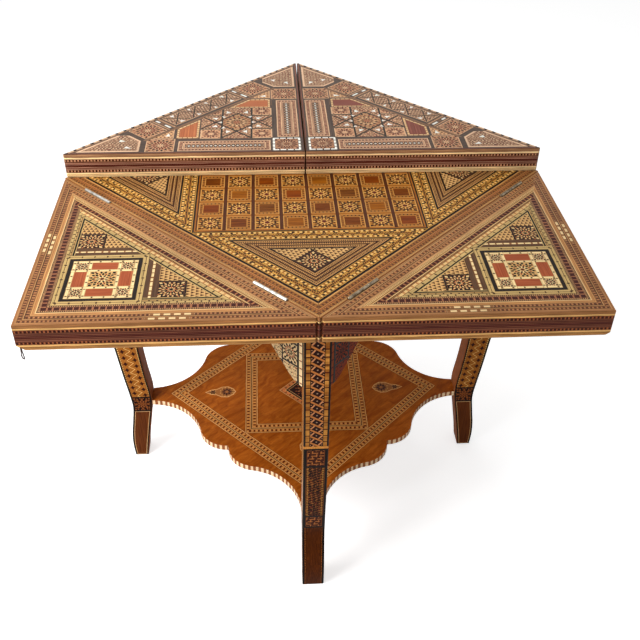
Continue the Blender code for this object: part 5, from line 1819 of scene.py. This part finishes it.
def add_pull_loop(flaps):
    matrix = flaps["front_left"]
    curve = bpy.data.curves.new("pull_loop_thong", "CURVE")
    curve.dimensions = "3D"
    curve.bevel_depth = THONG_DIAMETER / 2
    curve.bevel_resolution = 4
    curve.use_fill_caps = True
    spline = curve.splines.new("POLY")
    spline.points.add(len(LOOP_ROUTE) - 1)
    y = FLAP_APEX * 0.001 - LOOP_INSET
    route = [matrix @ Vector((across, y, FLAP_TOP * 0.001 + out)) for across, out in LOOP_ROUTE]
    for point, place in zip(spline.points, route):
        point.co = (*place, 1)
    curve.materials.append(finishes["leather"])
    loop = add_object("pull_loop_thong", curve)
    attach(loop, "front_left_flap")
    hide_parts("pull_loop")
    length = sum((a - b).length for a, b in zip(route, route[1:]))


# The studio

def looked_at(start):
    """1 for a ray from the camera, a reflection or a refraction, and 0 for one that only gathers light."""
    rays = start.node("LightPath")
    return rays.output("Is Camera Ray") | rays.output("Is Glossy Ray") | rays.output("Is Transmission Ray")


def add_floor():
    shape = bmesh.new()
    bmesh.ops.create_grid(shape, x_segments=2, y_segments=2, size=15)
    mesh = mesh_of(shape, "studio_floor")
    floor = add_object("studio_floor", mesh)
    floor.location.z = -FLOOR_DROP
    material = bpy.data.materials.new("studio_floor")
    material.use_nodes = True
    tree = material.node_tree
    shader = tree.nodes["Principled BSDF"]
    shader.inputs["Base Color"].default_value = (0.78, 0.78, 0.78, 1)
    shader.inputs["Roughness"].default_value = 0.9
    shader.inputs["Specular IOR Level"].default_value = 0.0
    start = Wire(tree)
    glow = start.node("Emission", None, {"Color": (1, 1, 1, 1), "Strength": looked_at(start) * FLOOR_GLOW})
    both = tree.nodes.new("ShaderNodeAddShader")
    tree.links.new(shader.outputs[0], both.inputs[0])
    tree.links.new(glow.socket, both.inputs[1])
    tree.links.new(both.outputs[0], tree.nodes["Material Output"].inputs["Surface"])
    mesh.materials.append(material)


def add_studio():
    scene = bpy.context.scene
    scene.view_settings.view_transform = "Standard"
    add_floor()
    world = bpy.data.worlds.new("studio")
    world.use_nodes = True
    scene.world = world
    background = world.node_tree.nodes["Background"]
    background.inputs["Color"].default_value = (1, 1, 1, 1)
    strength = ranged(looked_at(Wire(world.node_tree)), 0.0, 1.0, WORLD_LIGHT, WORLD_SEEN)
    world.node_tree.links.new(strength.socket, background.inputs["Strength"])

    target = Vector((0, 0, 0.5))
    for name, place, size, power in (
        ("key", (-1.7, -0.9, 1.8), 1.3, 54.0),
        ("low", (-3.0, -2.7, 1.0), 1.2, 40.0),
        ("top", (-0.6, 0.9, 2.9), 2.2, 22.0),
    ):
        light = bpy.data.lights.new(name, "AREA")
        light.size = size
        light.energy = power
        lamp = add_object(name, light)
        lamp.location = place
        lamp.rotation_euler = (target - Vector(place)).to_track_quat("-Z", "Y").to_euler()


add_camera()
side_places, flap_places = side_frames()
add_plain_finishes()
add_pull_loop(flap_places)
add_playing_finishes()
add_outer_finishes()
add_edge_and_leg_finishes()
add_shelf_finishes()
add_flaps(flap_places)
add_top(side_places)
add_hinges(side_places, flap_places)
add_legs(leg_frames())
add_aprons(side_places)
add_shelf()
finish_nodes()
add_studio()
